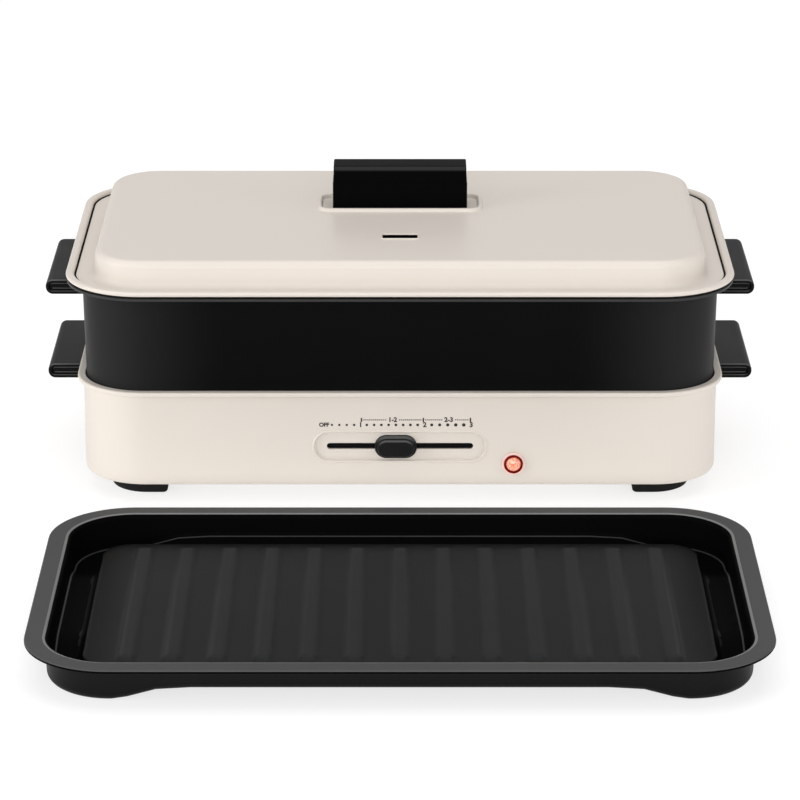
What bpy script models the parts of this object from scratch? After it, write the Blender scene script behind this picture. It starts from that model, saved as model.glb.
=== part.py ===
"""Hot pot and grill set: a heated base, a deep pot, a lid and a loose ribbed griddle.

The pot stands in the base and the lid stands on the pot. The griddle, which takes the
pot's place in the base for frying, stands flat on its own corner feet in front.
Metres, +Z up, the front of the set faces -Y. The origin is on the surface that the set
stands on, midway between the front of the griddle and the back of the lid.
"""
import math

import bmesh
import bpy
from mathutils import Vector

for old_object in list(bpy.data.objects):
    bpy.data.objects.remove(old_object, do_unlink=True)

# Fits that hold for the whole set
SEAT_GAP = 0.0003            # between two pieces that touch
SLIDE_GAP = 0.0003           # between a sliding piece and its guide
OVERRUN = 0.004              # how far a cutter reaches past what it cuts
STANDING_GAP = 0.060         # seen from above, between the lid and the griddle
LEAST_RADIUS = 0.0008        # of a corner that an offset has used up
RAMP_LIMIT_SHARE = 0.42      # of a side, the most that one ramp takes
STADIUM_SHARE = 0.97         # of half a stadium's height, its corner radius
CORNER_STEPS = 5
SMALL_CORNER_STEPS = 3
ARC_STEPS = 3
RAMP_STEPS = 2
TURNED_STEPS = 20
CREASE_ANGLE = math.radians(35)
FOOT_CREASE_ANGLE = math.radians(60)

# Base shell, a drawn steel ring with a rolled lip and a hem below
BASE_WIDTH = 0.384
BASE_DEPTH = 0.223
BASE_RADIUS = 0.0385
BASE_WALL = 0.0012
BASE_BOTTOM = 0.0105
BASE_HEIGHT = 0.0602
BASE_EDGE_RADIUS = 0.0030
BASE_HEM = 0.0140
LIP_REACH = 0.0035
LIP_HEIGHT = 0.0030
LIP_ROUND = 0.0010

# Bottom plate with its vents and the posts that carry the tray
PLATE_THICKNESS = 0.0015
PLATE_POST_RADIUS = 0.0050
PLATE_POST_INSET = 0.0190
VENT_COUNT = 9
VENT_LENGTH = 0.0420
VENT_WIDTH = 0.0040
VENT_PITCH = 0.0095
VENT_CENTRE_X = 0.0850

# Feet
FOOT_SIDE = 0.0350
FOOT_MARGIN = 0.0018         # from the shell's hem to the foot
FOOT_BEVEL = 0.0012
FOOT_INNER_RADIUS = 0.0030
FOOT_BORE_RADIUS = 0.0042
FOOT_BORE_DEPTH = 0.0060

# Vessels: what the pot and the griddle have in common
VESSEL_SIDE_GAP = 0.0008     # to the inside of the base at its lip
FOOT_DROP = 0.0065           # of the corner feet below the middle of the floor
FOOT_RAMP = 0.0330
FOOT_REACH = 0.0120          # of the low corners in from the wall
FOOT_FADE = 0.0220
FLANGE_REACH = 0.0090        # of the flange that lid, pot and griddle share, past the base

# Pot
POT_TOP = 0.1310
POT_FLANGE_THICKNESS = 0.0018
POT_FLANGE_INSET = 0.0006
POT_WALL = 0.0024
POT_FLOOR = 0.0030
POT_DRAFT_SHARE = 0.020
POT_OUTER_FILLET = 0.0090
POT_INNER_FILLET = 0.0070
POT_NECK_RADIUS = 0.0012

# Griddle
GRIDDLE_HEIGHT = 0.0230
GRIDDLE_FLANGE_THICKNESS = 0.0024
GRIDDLE_EDGE_ROUND = 0.0008
GRIDDLE_WALL = 0.0024
GRIDDLE_FLOOR = 0.0030
GRIDDLE_DRAFT_SHARE = 0.070
GRIDDLE_LIP_RADIUS = 0.0026
GRIDDLE_OUTER_FILLET = 0.0050
GRIDDLE_INNER_FILLET = 0.0030
GUTTER_WIDTH = 0.0110
PLATEAU_RISE = 0.0024
PLATEAU_SLOPE = 0.0022
RIB_COUNT = 13
RIB_PITCH = 0.0244
RIB_WIDTH = 0.0104
RIB_CREST_WIDTH = 0.0056
RIB_HEIGHT = 0.0022
RIB_END_GAP = 0.0060         # from the end of a rib to the edge of the plateau

# Lid
LID_THICKNESS = 0.0014
LID_HEIGHT = 0.0174
LID_DOME_INSET = 0.0175
LID_DOME_ROUND = 0.0044
LID_DOME_DRAFT = 0.0005
LID_COVE = 0.0036
LID_BEAD_WIDTH = 0.0046
LID_BEAD_LIFT = 0.0010
LID_BEAD_HEIGHT = 0.0026
LID_BEAD_ROUND = 0.0009
LID_SKIRT_GAP = 0.0010
LID_SKIRT_DEPTH = 0.0040
STEAM_SLOT_LENGTH = 0.0210
STEAM_SLOT_WIDTH = 0.0074
STEAM_SLOT_RADIUS = 0.0012
STEAM_SLOT_Y = -0.0500

# Lid handle in its raised surround
SURROUND_LENGTH = 0.1040
SURROUND_DEPTH = 0.0380
SURROUND_RADIUS = 0.0092
SURROUND_RISE = 0.0020
SURROUND_WIDTH = 0.0036
SURROUND_SINK = 0.0012
LID_HANDLE_Y = 0.0220
LID_HANDLE_LENGTH = 0.0824
LID_HANDLE_THICKNESS = 0.0220
LID_HANDLE_TOP = 0.0268      # above the top of the lid
LID_HANDLE_ROUND = 0.0034
LID_HANDLE_SKIN = 0.0026
LID_HANDLE_SIDE_SHARE = 0.36  # of the handle's height that the cap comes down
LID_HANDLE_STEP = 0.0005
LID_PLATE_THICKNESS = 0.0015
LID_PLATE_LENGTH = 0.0700
LID_PLATE_DEPTH = 0.0180

# Side handles, a folded strap round a core
HANDLE_LENGTH = 0.0880
HANDLE_THICKNESS = 0.0094
HANDLE_REACH = 0.0245        # of the tip past the wall of the base
HANDLE_SKIN = 0.0021
HANDLE_CORE_STEP = 0.0006
POT_HANDLE_Z = 0.1149
BASE_HANDLE_Z = 0.0609
ROUND_END_STEPS = 10

# Tray under the pot, its ledge carries the corner feet
TRAY_THICKNESS = 0.0008
TRAY_LEDGE = 0.0180
TRAY_DEPTH = 0.0080
TRAY_ROUND = 0.0020

# Heating element, four passes joined by three turns
ELEMENT_RADIUS = 0.0033
ELEMENT_AIR = 0.0010         # from the element to the pot's floor
ELEMENT_LANE = 0.0400        # between two passes
ELEMENT_TURN_INSET = 0.0770  # from the wall of the base to where the turns start
ELEMENT_END_INSET = 0.0420
ELEMENT_BEND_RADIUS = 0.0090
ELEMENT_TURN_STEPS = 8
ELEMENT_BEND_STEPS = 4
ELEMENT_HOLE_GAP = 0.0010
BRACKET_THICKNESS = 0.0015
BRACKET_X = 0.0750
BRACKET_MARGIN = 0.0090
BRACKET_LIP = 0.0012
NOTCH_STEPS = 6
TERMINAL_RADIUS = 0.0060
TERMINAL_LENGTH = 0.0110

# Slide control on the front
SLIDE_Z = 0.0356
SLIDE_SLOT_LENGTH = 0.0880
SLIDE_SLOT_HEIGHT = 0.0031
SLIDE_REST_X = -0.0025
PANEL_END = 0.0075           # from the end of the slot to the end of the panel
PANEL_HEIGHT = 0.0190
PANEL_SINK = 0.0010
PANEL_MARGIN = 0.0030
PANEL_BACKING = 0.0015
KNOB_LENGTH = 0.0254
KNOB_HEIGHT = 0.0144
KNOB_PAD_HEIGHT = 0.0084
KNOB_BASE_THICKNESS = 0.0028
KNOB_THICKNESS = 0.0058
KNOB_ROUND = 0.0008
STEM_LENGTH = 0.0060
STEM_HEIGHT = 0.0023
STEM_SOCKET_DEPTH = 0.0016

# Rack on the carriage and pinion on the thermostat's spindle
GEAR_MODULE = 0.0015
PINION_TEETH = 21
PRESSURE_ANGLE = math.radians(20)
TOOTH_SLACK = 0.00020        # taken off each side of a tooth
MESH_SLACK = 0.00010         # added to the distance between rack and pinion
DEDENDUM_SHARE = 1.25
FLANK_STEPS = 2
RACK_END = 0.0050            # of the rack bar past the length of the slot
RACK_BODY = 0.0036
RACK_HEIGHT = 0.0050
PINION_HEIGHT = 0.0042
SPINDLE_RADIUS = 0.0030
SPINDLE_SEAT_DEPTH = 0.0070
THERMOSTAT_WIDTH = 0.0320
THERMOSTAT_DEPTH = 0.0280
THERMOSTAT_BEVEL = 0.0012
THERMOSTAT_COLLAR_RADIUS = 0.0065
THERMOSTAT_COLLAR_HEIGHT = 0.0025
THERMOSTAT_AIR = 0.0010      # from the collar to the pinion
RAIL_WALL = 0.0012
RAIL_DEPTH = 0.0050

# Pilot lamp
LAMP_REACH = 0.0242          # from the end of the slot to the middle of the lamp
LAMP_Z = 0.0248
LAMP_FLANGE_RADIUS = 0.0071
LAMP_FLANGE_THICKNESS = 0.0007
LAMP_RING_RADIUS = 0.0057
LAMP_RING_HEIGHT = 0.0022
LAMP_LENS_RADIUS = 0.0045
LAMP_LENS_RISE = 0.0009
LENS_CROWN_SHARE = 0.6       # of the lens's radius, where its crown bends down
LAMP_BODY_RADIUS = 0.0034
LAMP_STEM_RADIUS = 0.0045
LAMP_STEM_LENGTH = 0.0080
LAMP_NUT_RADIUS = 0.0062
LAMP_NUT_THICKNESS = 0.0030
LAMP_LENS_LENGTH = 0.0150

# Power inlet in the back wall
INLET_Z = 0.0320
INLET_WIDTH = 0.0400
INLET_HEIGHT = 0.0200
INLET_RADIUS = 0.0040
INLET_FLANGE = 0.0035
INLET_FLANGE_THICKNESS = 0.0020
INLET_DEPTH = 0.0180
INLET_SHELL = 0.0022
PIN_RADIUS = 0.0020
PIN_PITCH = 0.0110
PIN_TAIL = 0.0060
PIN_RECESS = 0.0060

# Wiring under the tray
LEAD_RADIUS = 0.0012
LEAD_STEPS = 4
FUSE_LENGTH = 0.0160
FUSE_WIDTH = 0.0080
FUSE_HEIGHT = 0.0050
FUSE_X = 0.0600

# Sizes and places worked out from those above
FLANGE_WIDTH = BASE_WIDTH + 2 * FLANGE_REACH
FLANGE_DEPTH = BASE_DEPTH + 2 * FLANGE_REACH
FLANGE_RADIUS = BASE_RADIUS + FLANGE_REACH
STACK_Y = (FLANGE_DEPTH + STANDING_GAP) / 2
GRIDDLE_Y = -STACK_Y
BASE_TOP = BASE_BOTTOM + BASE_HEIGHT
BASE_FRONT = -BASE_DEPTH / 2
BASE_BACK = BASE_DEPTH / 2
FOOT_INSET = BASE_HEM + FOOT_MARGIN
LEDGE_TOP = BASE_TOP + GRIDDLE_FLANGE_THICKNESS - GRIDDLE_HEIGHT
VESSEL_BOTTOM = LEDGE_TOP + SEAT_GAP
LID_SEAT = POT_TOP + SEAT_GAP
LID_TOP = LID_SEAT + LID_HEIGHT
TRAY_FLOOR = LEDGE_TOP - TRAY_DEPTH
TRAY_UNDERSIDE = TRAY_FLOOR - TRAY_THICKNESS
ELEMENT_Z = VESSEL_BOTTOM + FOOT_DROP - ELEMENT_AIR - ELEMENT_RADIUS
PLATE_BOTTOM = BASE_BOTTOM + BASE_WALL + SEAT_GAP
PLATE_TOP = PLATE_BOTTOM + PLATE_THICKNESS
ELEMENT_TURN_X = BASE_WIDTH / 2 - ELEMENT_TURN_INSET
ELEMENT_END_X = BASE_WIDTH / 2 - ELEMENT_END_INSET
PANEL_LENGTH = SLIDE_SLOT_LENGTH + 2 * PANEL_END
RACK_LENGTH = SLIDE_SLOT_LENGTH + 2 * RACK_END
LAMP_X = SLIDE_SLOT_LENGTH / 2 + LAMP_REACH
PANEL_BACK = BASE_FRONT + BASE_WALL + PANEL_BACKING
RACK_FRONT = PANEL_BACK + SLIDE_GAP
RACK_PITCH_Y = RACK_FRONT + RACK_BODY + DEDENDUM_SHARE * GEAR_MODULE
PITCH_RADIUS = GEAR_MODULE * PINION_TEETH / 2
PINION_Y = RACK_PITCH_Y + PITCH_RADIUS + MESH_SLACK

WHOLE = math.pi * 2
SET = bpy.data.collections.new("hot_pot_grill_combo")
CUTTERS = bpy.data.collections.new("cutters")
bpy.context.scene.collection.children.link(SET)
bpy.context.scene.collection.children.link(CUTTERS)


# Materials
def paint(name, colour, roughness, metallic=0.0):
    """Return a Principled material with the given look."""
    material = bpy.data.materials.new(name)
    material.use_nodes = True
    shader = material.node_tree.nodes["Principled BSDF"]
    shader.inputs["Base Color"].default_value = (*colour, 1.0)
    shader.inputs["Roughness"].default_value = roughness
    shader.inputs["Metallic"].default_value = metallic
    return material


CREAM = paint("cream_enamel", (0.78, 0.70, 0.62), 0.38)
BLACK_COATING = paint("black_coating", (0.020, 0.020, 0.021), 0.42)
BLACK_PLASTIC = paint("black_plastic", (0.022, 0.022, 0.023), 0.50)
RUBBER = paint("black_rubber", (0.016, 0.016, 0.016), 0.75)
STEEL = paint("bare_steel", (0.55, 0.55, 0.54), 0.35, 1.0)
ELEMENT_STEEL = paint("element_steel", (0.30, 0.29, 0.28), 0.45, 1.0)
CERAMIC = paint("ceramic", (0.82, 0.80, 0.74), 0.55)
BRASS = paint("brass", (0.72, 0.54, 0.25), 0.32, 1.0)
LAMP_RED = paint("lamp_ring_red", (0.35, 0.03, 0.02), 0.35)
LAMP_ORANGE = paint("lamp_lens_orange", (0.90, 0.22, 0.10), 0.18)
LEAD_WHITE = paint("lead_sleeve", (0.75, 0.74, 0.70), 0.60)


# Making and joining solids
def add_object(name, data, material=None):
    """Link data as an object of the set, or as a cutter where it has no material."""
    new = bpy.data.objects.new(name, data)
    if material is None:
        CUTTERS.objects.link(new)
        new.hide_render = True
        new.display_type = "WIRE"
    else:
        SET.objects.link(new)
        data.materials.append(material)
    return new


def mesh_object(name, form, material=None):
    """Turn a bmesh into an object with smooth faces and sharp creases."""
    bmesh.ops.recalc_face_normals(form, faces=form.faces)
    mesh = bpy.data.meshes.new(name)
    form.to_mesh(mesh)
    form.free()
    mesh.shade_smooth()
    mesh.set_sharp_from_angle(angle=CREASE_ANGLE)
    return add_object(name, mesh, material)


def as_mesh(curve_object, material=None):
    """Replace a curve object by its own welded mesh, so that it can be cut."""
    bpy.context.view_layer.update()
    graph = bpy.context.evaluated_depsgraph_get()
    mesh = bpy.data.meshes.new_from_object(curve_object.evaluated_get(graph))
    form = bmesh.new()
    form.from_mesh(mesh)
    bmesh.ops.remove_doubles(form, verts=form.verts, dist=SEAT_GAP / 10)
    form.to_mesh(mesh)
    form.free()
    mesh.materials.clear()
    name = curve_object.name
    place = curve_object.matrix_world.copy()
    bpy.data.objects.remove(curve_object, do_unlink=True)
    new = add_object(name, mesh, material)
    new.matrix_world = place
    return new


def boolean(target, other, operation):
    """Cut other out of target, or join it on."""
    step = target.modifiers.new(other.name, "BOOLEAN")
    step.operation = operation
    step.object = other
    step.solver = "EXACT"
    return target


def smooth_step(share):
    """Ease a share between 0 and 1 with level ends."""
    return share * share * (3 - 2 * share)


def rounded_ring(outline, offset, ramp, steps):
    """Points round a rounded rectangle moved outwards by offset, with their foot weights.

    With a ramp, the straight sides get points near both ends, where a weight of 1 at the
    corners fades to 0 over the length of the ramp.
    """
    width, depth, radius = outline
    half_x = width / 2 + offset
    half_y = depth / 2 + offset
    turn = max(radius + offset, LEAST_RADIUS)
    straights = (2 * (half_y - turn), 2 * (half_x - turn))
    points = []
    for quarter, (sign_x, sign_y) in enumerate(((1, -1), (1, 1), (-1, 1), (-1, -1))):
        start = (quarter - 1) * math.pi / 2
        centre_x = sign_x * (half_x - turn)
        centre_y = sign_y * (half_y - turn)
        for step in range(steps + 1):
            angle = start + step / steps * math.pi / 2
            x = centre_x + turn * math.cos(angle)
            y = centre_y + turn * math.sin(angle)
            points.append((x, y, 1.0))
        if ramp:
            points += side_points(x, y, start + math.pi, straights[quarter % 2], ramp)
    return points


def side_points(x, y, heading, length, ramp):
    """Points along one straight side, close to both its ends."""
    reach = min(ramp, length * RAMP_LIMIT_SHARE)
    near = [(reach * step / RAMP_STEPS, step) for step in range(1, RAMP_STEPS + 1)]
    far = [(length - distance, step) for distance, step in reversed(near)]
    points = []
    for distance, step in near + far:
        weight = smooth_step(1 - step / RAMP_STEPS)
        along_x = x + distance * math.cos(heading)
        along_y = y + distance * math.sin(heading)
        points.append((along_x, along_y, weight))
    return points


def lofted(name, outline, stations, material=None, feet=False, closed=False, steps=CORNER_STEPS):
    """Loft rounded rectangles through stations of offset, height and foot share.

    A station's foot share says how much of the foot drop its corners take. A closed loft
    joins its last station to its first one, any other is capped at both.
    """
    form = bmesh.new()
    rings = []
    for station in stations:
        offset, height = station[:2]
        foot_share = station[2] if len(station) > 2 else 0
        ring = []
        for x, y, weight in rounded_ring(outline, offset, FOOT_RAMP if feet else 0, steps):
            ring.append(form.verts.new((x, y, height - FOOT_DROP * foot_share * weight)))
        rings.append(ring)
    pairs = list(zip(rings, rings[1:]))
    if closed:
        pairs.append((rings[-1], rings[0]))
    else:
        form.faces.new(rings[0])
        form.faces.new(rings[-1])
    for lower, upper in pairs:
        for index in range(len(lower)):
            following = (index + 1) % len(lower)
            form.faces.new((lower[index], lower[following], upper[following], upper[index]))
    return mesh_object(name, form, material)


def arc(centre_offset, centre_height, radius, first, last, steps=ARC_STEPS, foot_share=0):
    """Stations on an arc in the plane of offset and height, angles in degrees."""
    stations = []
    for step in range(steps + 1):
        angle = math.radians(first + (last - first) * step / steps)
        offset = centre_offset + radius * math.cos(angle)
        height = centre_height + radius * math.sin(angle)
        stations.append((offset, height, foot_share))
    return stations


def box(name, size, centre, material=None):
    """A box of the given size about its centre."""
    form = bmesh.new()
    bmesh.ops.create_cube(form, size=1)
    bmesh.ops.scale(form, vec=size, verts=form.verts)
    new = mesh_object(name, form, material)
    new.location = centre
    return new


def cylinder(name, radius, length, centre, material=None, turn=(0, 0, 0)):
    """A cylinder about its centre, along Z before it is turned."""
    form = bmesh.new()
    bmesh.ops.create_cone(form, cap_ends=True, segments=TURNED_STEPS, radius1=radius,
                          radius2=radius, depth=length)
    new = mesh_object(name, form, material)
    new.location = centre
    new.rotation_euler = turn
    return new


def extruded(name, points, thickness, material=None):
    """A flat outline in XY, extruded by its whole thickness about Z = 0."""
    curve = bpy.data.curves.new(name, "CURVE")
    curve.dimensions = "2D"
    curve.fill_mode = "BOTH"
    curve.extrude = thickness / 2
    spline = curve.splines.new("POLY")
    spline.points.add(len(points) - 1)
    for point, (x, y) in zip(spline.points, points):
        point.co = (x, y, 0, 1)
    spline.use_cyclic_u = True
    return add_object(name, curve, material)


def tube(name, points, radius, material=None):
    """A round bar or wire along points in space."""
    curve = bpy.data.curves.new(name, "CURVE")
    curve.dimensions = "3D"
    curve.bevel_depth = radius
    curve.bevel_resolution = 2
    curve.use_fill_caps = True
    spline = curve.splines.new("POLY")
    spline.points.add(len(points) - 1)
    for point, place in zip(spline.points, points):
        point.co = (*place, 1)
    return add_object(name, curve, material)


def turned(name, profile, material, ring=False):
    """A solid of revolution about Z, from a profile that runs down its outer side."""
    form = bmesh.new()
    corners = [form.verts.new((radius, 0, height)) for radius, height in profile]
    for first, second in zip(corners, corners[1:]):
        form.edges.new((first, second))
    if ring:
        form.edges.new((corners[-1], corners[0]))
    mesh = bpy.data.meshes.new(name)
    form.to_mesh(mesh)
    form.free()
    new = add_object(name, mesh, material)
    screw = new.modifiers.new("turn", "SCREW")
    screw.steps = TURNED_STEPS
    screw.render_steps = TURNED_STEPS
    screw.use_merge_vertices = True
    screw.merge_threshold = SEAT_GAP / 10
    screw.use_smooth_shade = True
    return new


def arc_points(centre, radius, first, last, steps):
    """Points in a plane along an arc, angles in degrees."""
    points = []
    for step in range(steps + 1):
        angle = math.radians(first + (last - first) * step / steps)
        points.append((centre[0] + radius * math.cos(angle), centre[1] + radius * math.sin(angle)))
    return points


def in_stack(new, z=0.0, x=0.0, y=0.0):
    """Place a piece of the base, pot or lid."""
    new.location = (x, STACK_Y + y, z)
    return new


FACE_FRONT = (math.pi / 2, 0, 0)


# Base shell
def base_shell():
    """Drawn ring with a hem below, a rolled lip above, and its front and back openings."""
    outline = (BASE_WIDTH, BASE_DEPTH, BASE_RADIUS)
    turn = BASE_EDGE_RADIUS
    inner_turn = BASE_EDGE_RADIUS - BASE_WALL
    low = BASE_BOTTOM
    top = BASE_TOP
    stations = [(-BASE_HEM, low)]
    stations += arc(-turn, low + turn, turn, -90, 0)
    stations += [(0, top - LIP_HEIGHT), (LIP_REACH, top - LIP_HEIGHT)]
    stations += arc(LIP_REACH - LIP_ROUND, top - LIP_ROUND, LIP_ROUND, 0, 90, 3)
    stations += [(-BASE_WALL, top)]
    stations += arc(-turn, low + turn, inner_turn, 0, -90)
    stations += [(-BASE_HEM, low + BASE_WALL)]
    shell = in_stack(lofted("base_shell", outline, stations, CREAM, closed=True))
    boolean(shell, panel_backing(), "UNION")
    boolean(shell, panel_recess(), "DIFFERENCE")
    boolean(shell, slide_slot(), "DIFFERENCE")
    boolean(shell, lamp_hole(), "DIFFERENCE")
    boolean(shell, inlet_hole(), "DIFFERENCE")
    return shell


def stadium(name, length, height, thickness, material=None):
    """An upright plate with round ends, its flat faces to the front and the back."""
    outline = (length, height, height / 2 * STADIUM_SHARE)
    new = lofted(name, outline, [(0, -thickness / 2), (0, thickness / 2)], material)
    new.rotation_euler = FACE_FRONT
    return new


def panel_backing():
    """The thicker patch inside the front wall that carries the sunk panel."""
    length = PANEL_LENGTH + 2 * PANEL_MARGIN
    height = PANEL_HEIGHT + 2 * PANEL_MARGIN
    thickness = PANEL_BACKING + BASE_WALL / 2
    patch = stadium("panel_backing", length, height, thickness)
    return in_stack(patch, z=SLIDE_Z, y=PANEL_BACK - thickness / 2)


def panel_recess():
    """The sunk stadium round the slide's slot."""
    thickness = PANEL_SINK + OVERRUN
    recess = stadium("panel_recess", PANEL_LENGTH, PANEL_HEIGHT, thickness)
    return in_stack(recess, z=SLIDE_Z, y=BASE_FRONT + PANEL_SINK - thickness / 2)


def slide_slot():
    """The slot that the slide's stem runs in."""
    thickness = 2 * (OVERRUN + PANEL_BACKING)
    slot = stadium("slide_slot", SLIDE_SLOT_LENGTH, SLIDE_SLOT_HEIGHT, thickness)
    return in_stack(slot, z=SLIDE_Z, y=BASE_FRONT)


def lamp_hole():
    """The hole for the pilot lamp's stem."""
    hole = cylinder("lamp_hole", LAMP_STEM_RADIUS + SEAT_GAP, OVERRUN * 2, (0, 0, 0),
                    turn=FACE_FRONT)
    return in_stack(hole, z=LAMP_Z, x=LAMP_X, y=BASE_FRONT)


def inlet_hole():
    """The opening for the power inlet in the back wall."""
    width = INLET_WIDTH + 2 * SEAT_GAP
    height = INLET_HEIGHT + 2 * SEAT_GAP
    hole = lofted("inlet_hole", (width, height, INLET_RADIUS), [(0, -OVERRUN), (0, OVERRUN)],
                  steps=SMALL_CORNER_STEPS)
    hole.rotation_euler = FACE_FRONT
    return in_stack(hole, z=INLET_Z, y=BASE_BACK)


# Bottom plate and feet
def bottom_plate():
    """Plate on the shell's hem, with vents and the posts under the tray's ledge."""
    inset = BASE_WALL + SEAT_GAP
    outline = (BASE_WIDTH, BASE_DEPTH, BASE_RADIUS)
    low = BASE_EDGE_RADIUS
    plate = lofted("bottom_plate", outline, [(-inset - low, PLATE_BOTTOM), (-inset - low, PLATE_TOP)],
                   BLACK_PLASTIC)
    in_stack(plate)
    boolean(plate, tray_posts(), "UNION")
    boolean(plate, vents(), "DIFFERENCE")
    return plate


def corner_places(inset):
    """The four corners of the base, moved inwards on both axes."""
    reach_x = BASE_WIDTH / 2 - inset
    reach_y = BASE_DEPTH / 2 - inset
    return [(sign_x * reach_x, sign_y * reach_y) for sign_x in (-1, 1) for sign_y in (-1, 1)]


def tray_posts():
    """Four posts from the plate to the underside of the tray's ledge, as one cutter."""
    low = PLATE_TOP - PLATE_THICKNESS / 2
    top = LEDGE_TOP - TRAY_THICKNESS - SEAT_GAP
    form = bmesh.new()
    for x, y in corner_places(PLATE_POST_INSET):
        made = bmesh.ops.create_cone(form, cap_ends=True, segments=TURNED_STEPS // 2,
                                     radius1=PLATE_POST_RADIUS, radius2=PLATE_POST_RADIUS,
                                     depth=top - low)
        bmesh.ops.translate(form, vec=(x, y, (top + low) / 2), verts=made["verts"])
    return in_stack(mesh_object("tray_posts", form))


def vents():
    """Two groups of vent slots, as one cutter."""
    form = bmesh.new()
    for side in (-1, 1):
        for index in range(VENT_COUNT):
            x = side * VENT_CENTRE_X + (index - (VENT_COUNT - 1) / 2) * VENT_PITCH
            made = bmesh.ops.create_cube(form, size=1)
            bmesh.ops.scale(form, vec=(VENT_WIDTH, VENT_LENGTH, OVERRUN), verts=made["verts"])
            bmesh.ops.translate(form, vec=(x, 0, 0), verts=made["verts"])
    return in_stack(mesh_object("vents", form), z=(PLATE_TOP + PLATE_BOTTOM) / 2)


def foot(name, sign_x, sign_y):
    """A foot whose outer corner follows the base's, with a bore for its screw."""
    half = FOOT_SIDE / 2
    outer = BASE_RADIUS - FOOT_INSET
    inner = FOOT_INNER_RADIUS
    points = []
    for (x, y, radius), start in zip(((1, -1, inner), (1, 1, outer), (-1, 1, inner), (-1, -1, inner)),
                                     (-90, 0, 90, 180)):
        centre = (x * (half - radius), y * (half - radius))
        points += arc_points(centre, radius, start, start + 90, ARC_STEPS)
    points = [(sign_x * x, sign_y * y) for x, y in points]
    height = PLATE_BOTTOM - SEAT_GAP
    pad = as_mesh(extruded(name, points, height), RUBBER)
    reach_x = BASE_WIDTH / 2 - FOOT_INSET - half
    reach_y = BASE_DEPTH / 2 - FOOT_INSET - half
    in_stack(pad, z=height / 2, x=sign_x * reach_x, y=sign_y * reach_y)
    edges = pad.modifiers.new("edges", "BEVEL")
    edges.width = FOOT_BEVEL
    edges.segments = 1
    edges.limit_method = "ANGLE"
    edges.angle_limit = FOOT_CREASE_ANGLE
    bore = cylinder(name + "_bore", FOOT_BORE_RADIUS, FOOT_BORE_DEPTH * 2, (0, 0, 0))
    in_stack(bore, x=sign_x * reach_x, y=sign_y * reach_y)
    return boolean(pad, bore, "DIFFERENCE")


# Tray and heating element
def heat_tray():
    """Shallow steel tray, its ledge lies inside the shell and carries the corner feet."""
    gap = BASE_WALL + SEAT_GAP
    outline = (BASE_WIDTH - 2 * gap, BASE_DEPTH - 2 * gap, BASE_RADIUS - gap)
    under = LEDGE_TOP - TRAY_THICKNESS
    inside = -TRAY_LEDGE - TRAY_THICKNESS
    turn = TRAY_ROUND
    outer_turn = TRAY_ROUND + TRAY_THICKNESS
    stations = [(inside - turn - TRAY_LEDGE, TRAY_UNDERSIDE)]
    stations += arc(inside - turn, TRAY_FLOOR + turn, outer_turn, -90, 0, 3)
    stations += [(-TRAY_LEDGE, under), (0, under), (0, LEDGE_TOP), (inside, LEDGE_TOP)]
    stations += arc(inside - turn, TRAY_FLOOR + turn, turn, 0, -90, 3)
    stations += [(inside - turn - TRAY_LEDGE, TRAY_FLOOR)]
    tray = in_stack(lofted("heat_tray", outline, stations, STEEL))
    for end, side in (("front", -1), ("back", 1)):
        hole = cylinder("element_hole_" + end, ELEMENT_RADIUS + ELEMENT_HOLE_GAP, OVERRUN * 2,
                        (0, 0, 0))
        in_stack(hole, z=TRAY_FLOOR, x=ELEMENT_END_X, y=side * ELEMENT_LANE * 3 / 2)
        boolean(tray, hole, "DIFFERENCE")
    return tray


def element_route():
    """Centre line of the element, from the front terminal to the back one."""
    lane = ELEMENT_LANE
    front = (ELEMENT_END_X - ELEMENT_BEND_RADIUS, ELEMENT_Z - ELEMENT_BEND_RADIUS)
    low = TRAY_UNDERSIDE - TERMINAL_LENGTH / 2
    bend = arc_points(front, ELEMENT_BEND_RADIUS, 0, 90, ELEMENT_BEND_STEPS)
    end = [(ELEMENT_END_X, -lane * 3 / 2, low)]
    end += [(x, -lane * 3 / 2, z) for x, z in bend]
    route = list(end)
    for index, (side, middle) in enumerate(((-1, -1), (1, 0), (-1, 1))):
        centre = (side * ELEMENT_TURN_X, middle * lane)
        first, last = ((270, 90), (-90, 90), (270, 90))[index]
        turn = arc_points(centre, lane / 2, first, last, ELEMENT_TURN_STEPS)
        route += [(x, y, ELEMENT_Z) for x, y in turn]
    route += [(x, -y, z) for x, y, z in reversed(end)]
    return route


def heating_element():
    """Sheathed element in four passes, both ends bent down through the tray."""
    return in_stack(tube("heating_element", element_route(), ELEMENT_RADIUS, ELEMENT_STEEL))


def element_bracket(name, x):
    """Upright strip on the tray, notched for the four passes."""
    half = ELEMENT_LANE * 3 / 2 + BRACKET_MARGIN
    low = TRAY_FLOOR + SEAT_GAP
    top = ELEMENT_Z + BRACKET_LIP
    notch = ELEMENT_RADIUS + SEAT_GAP
    opening = math.degrees(math.asin(BRACKET_LIP / notch))
    points = [(-half, low), (half, low), (half, top)]
    for lane in (3, 1, -1, -3):
        centre = (lane * ELEMENT_LANE / 2, ELEMENT_Z)
        points += arc_points(centre, notch, opening, -180 - opening, NOTCH_STEPS)
    points += [(-half, top)]
    strip = extruded(name, points, BRACKET_THICKNESS, STEEL)
    strip.rotation_euler = (math.pi / 2, 0, math.pi / 2)
    return in_stack(strip, x=x)


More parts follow.
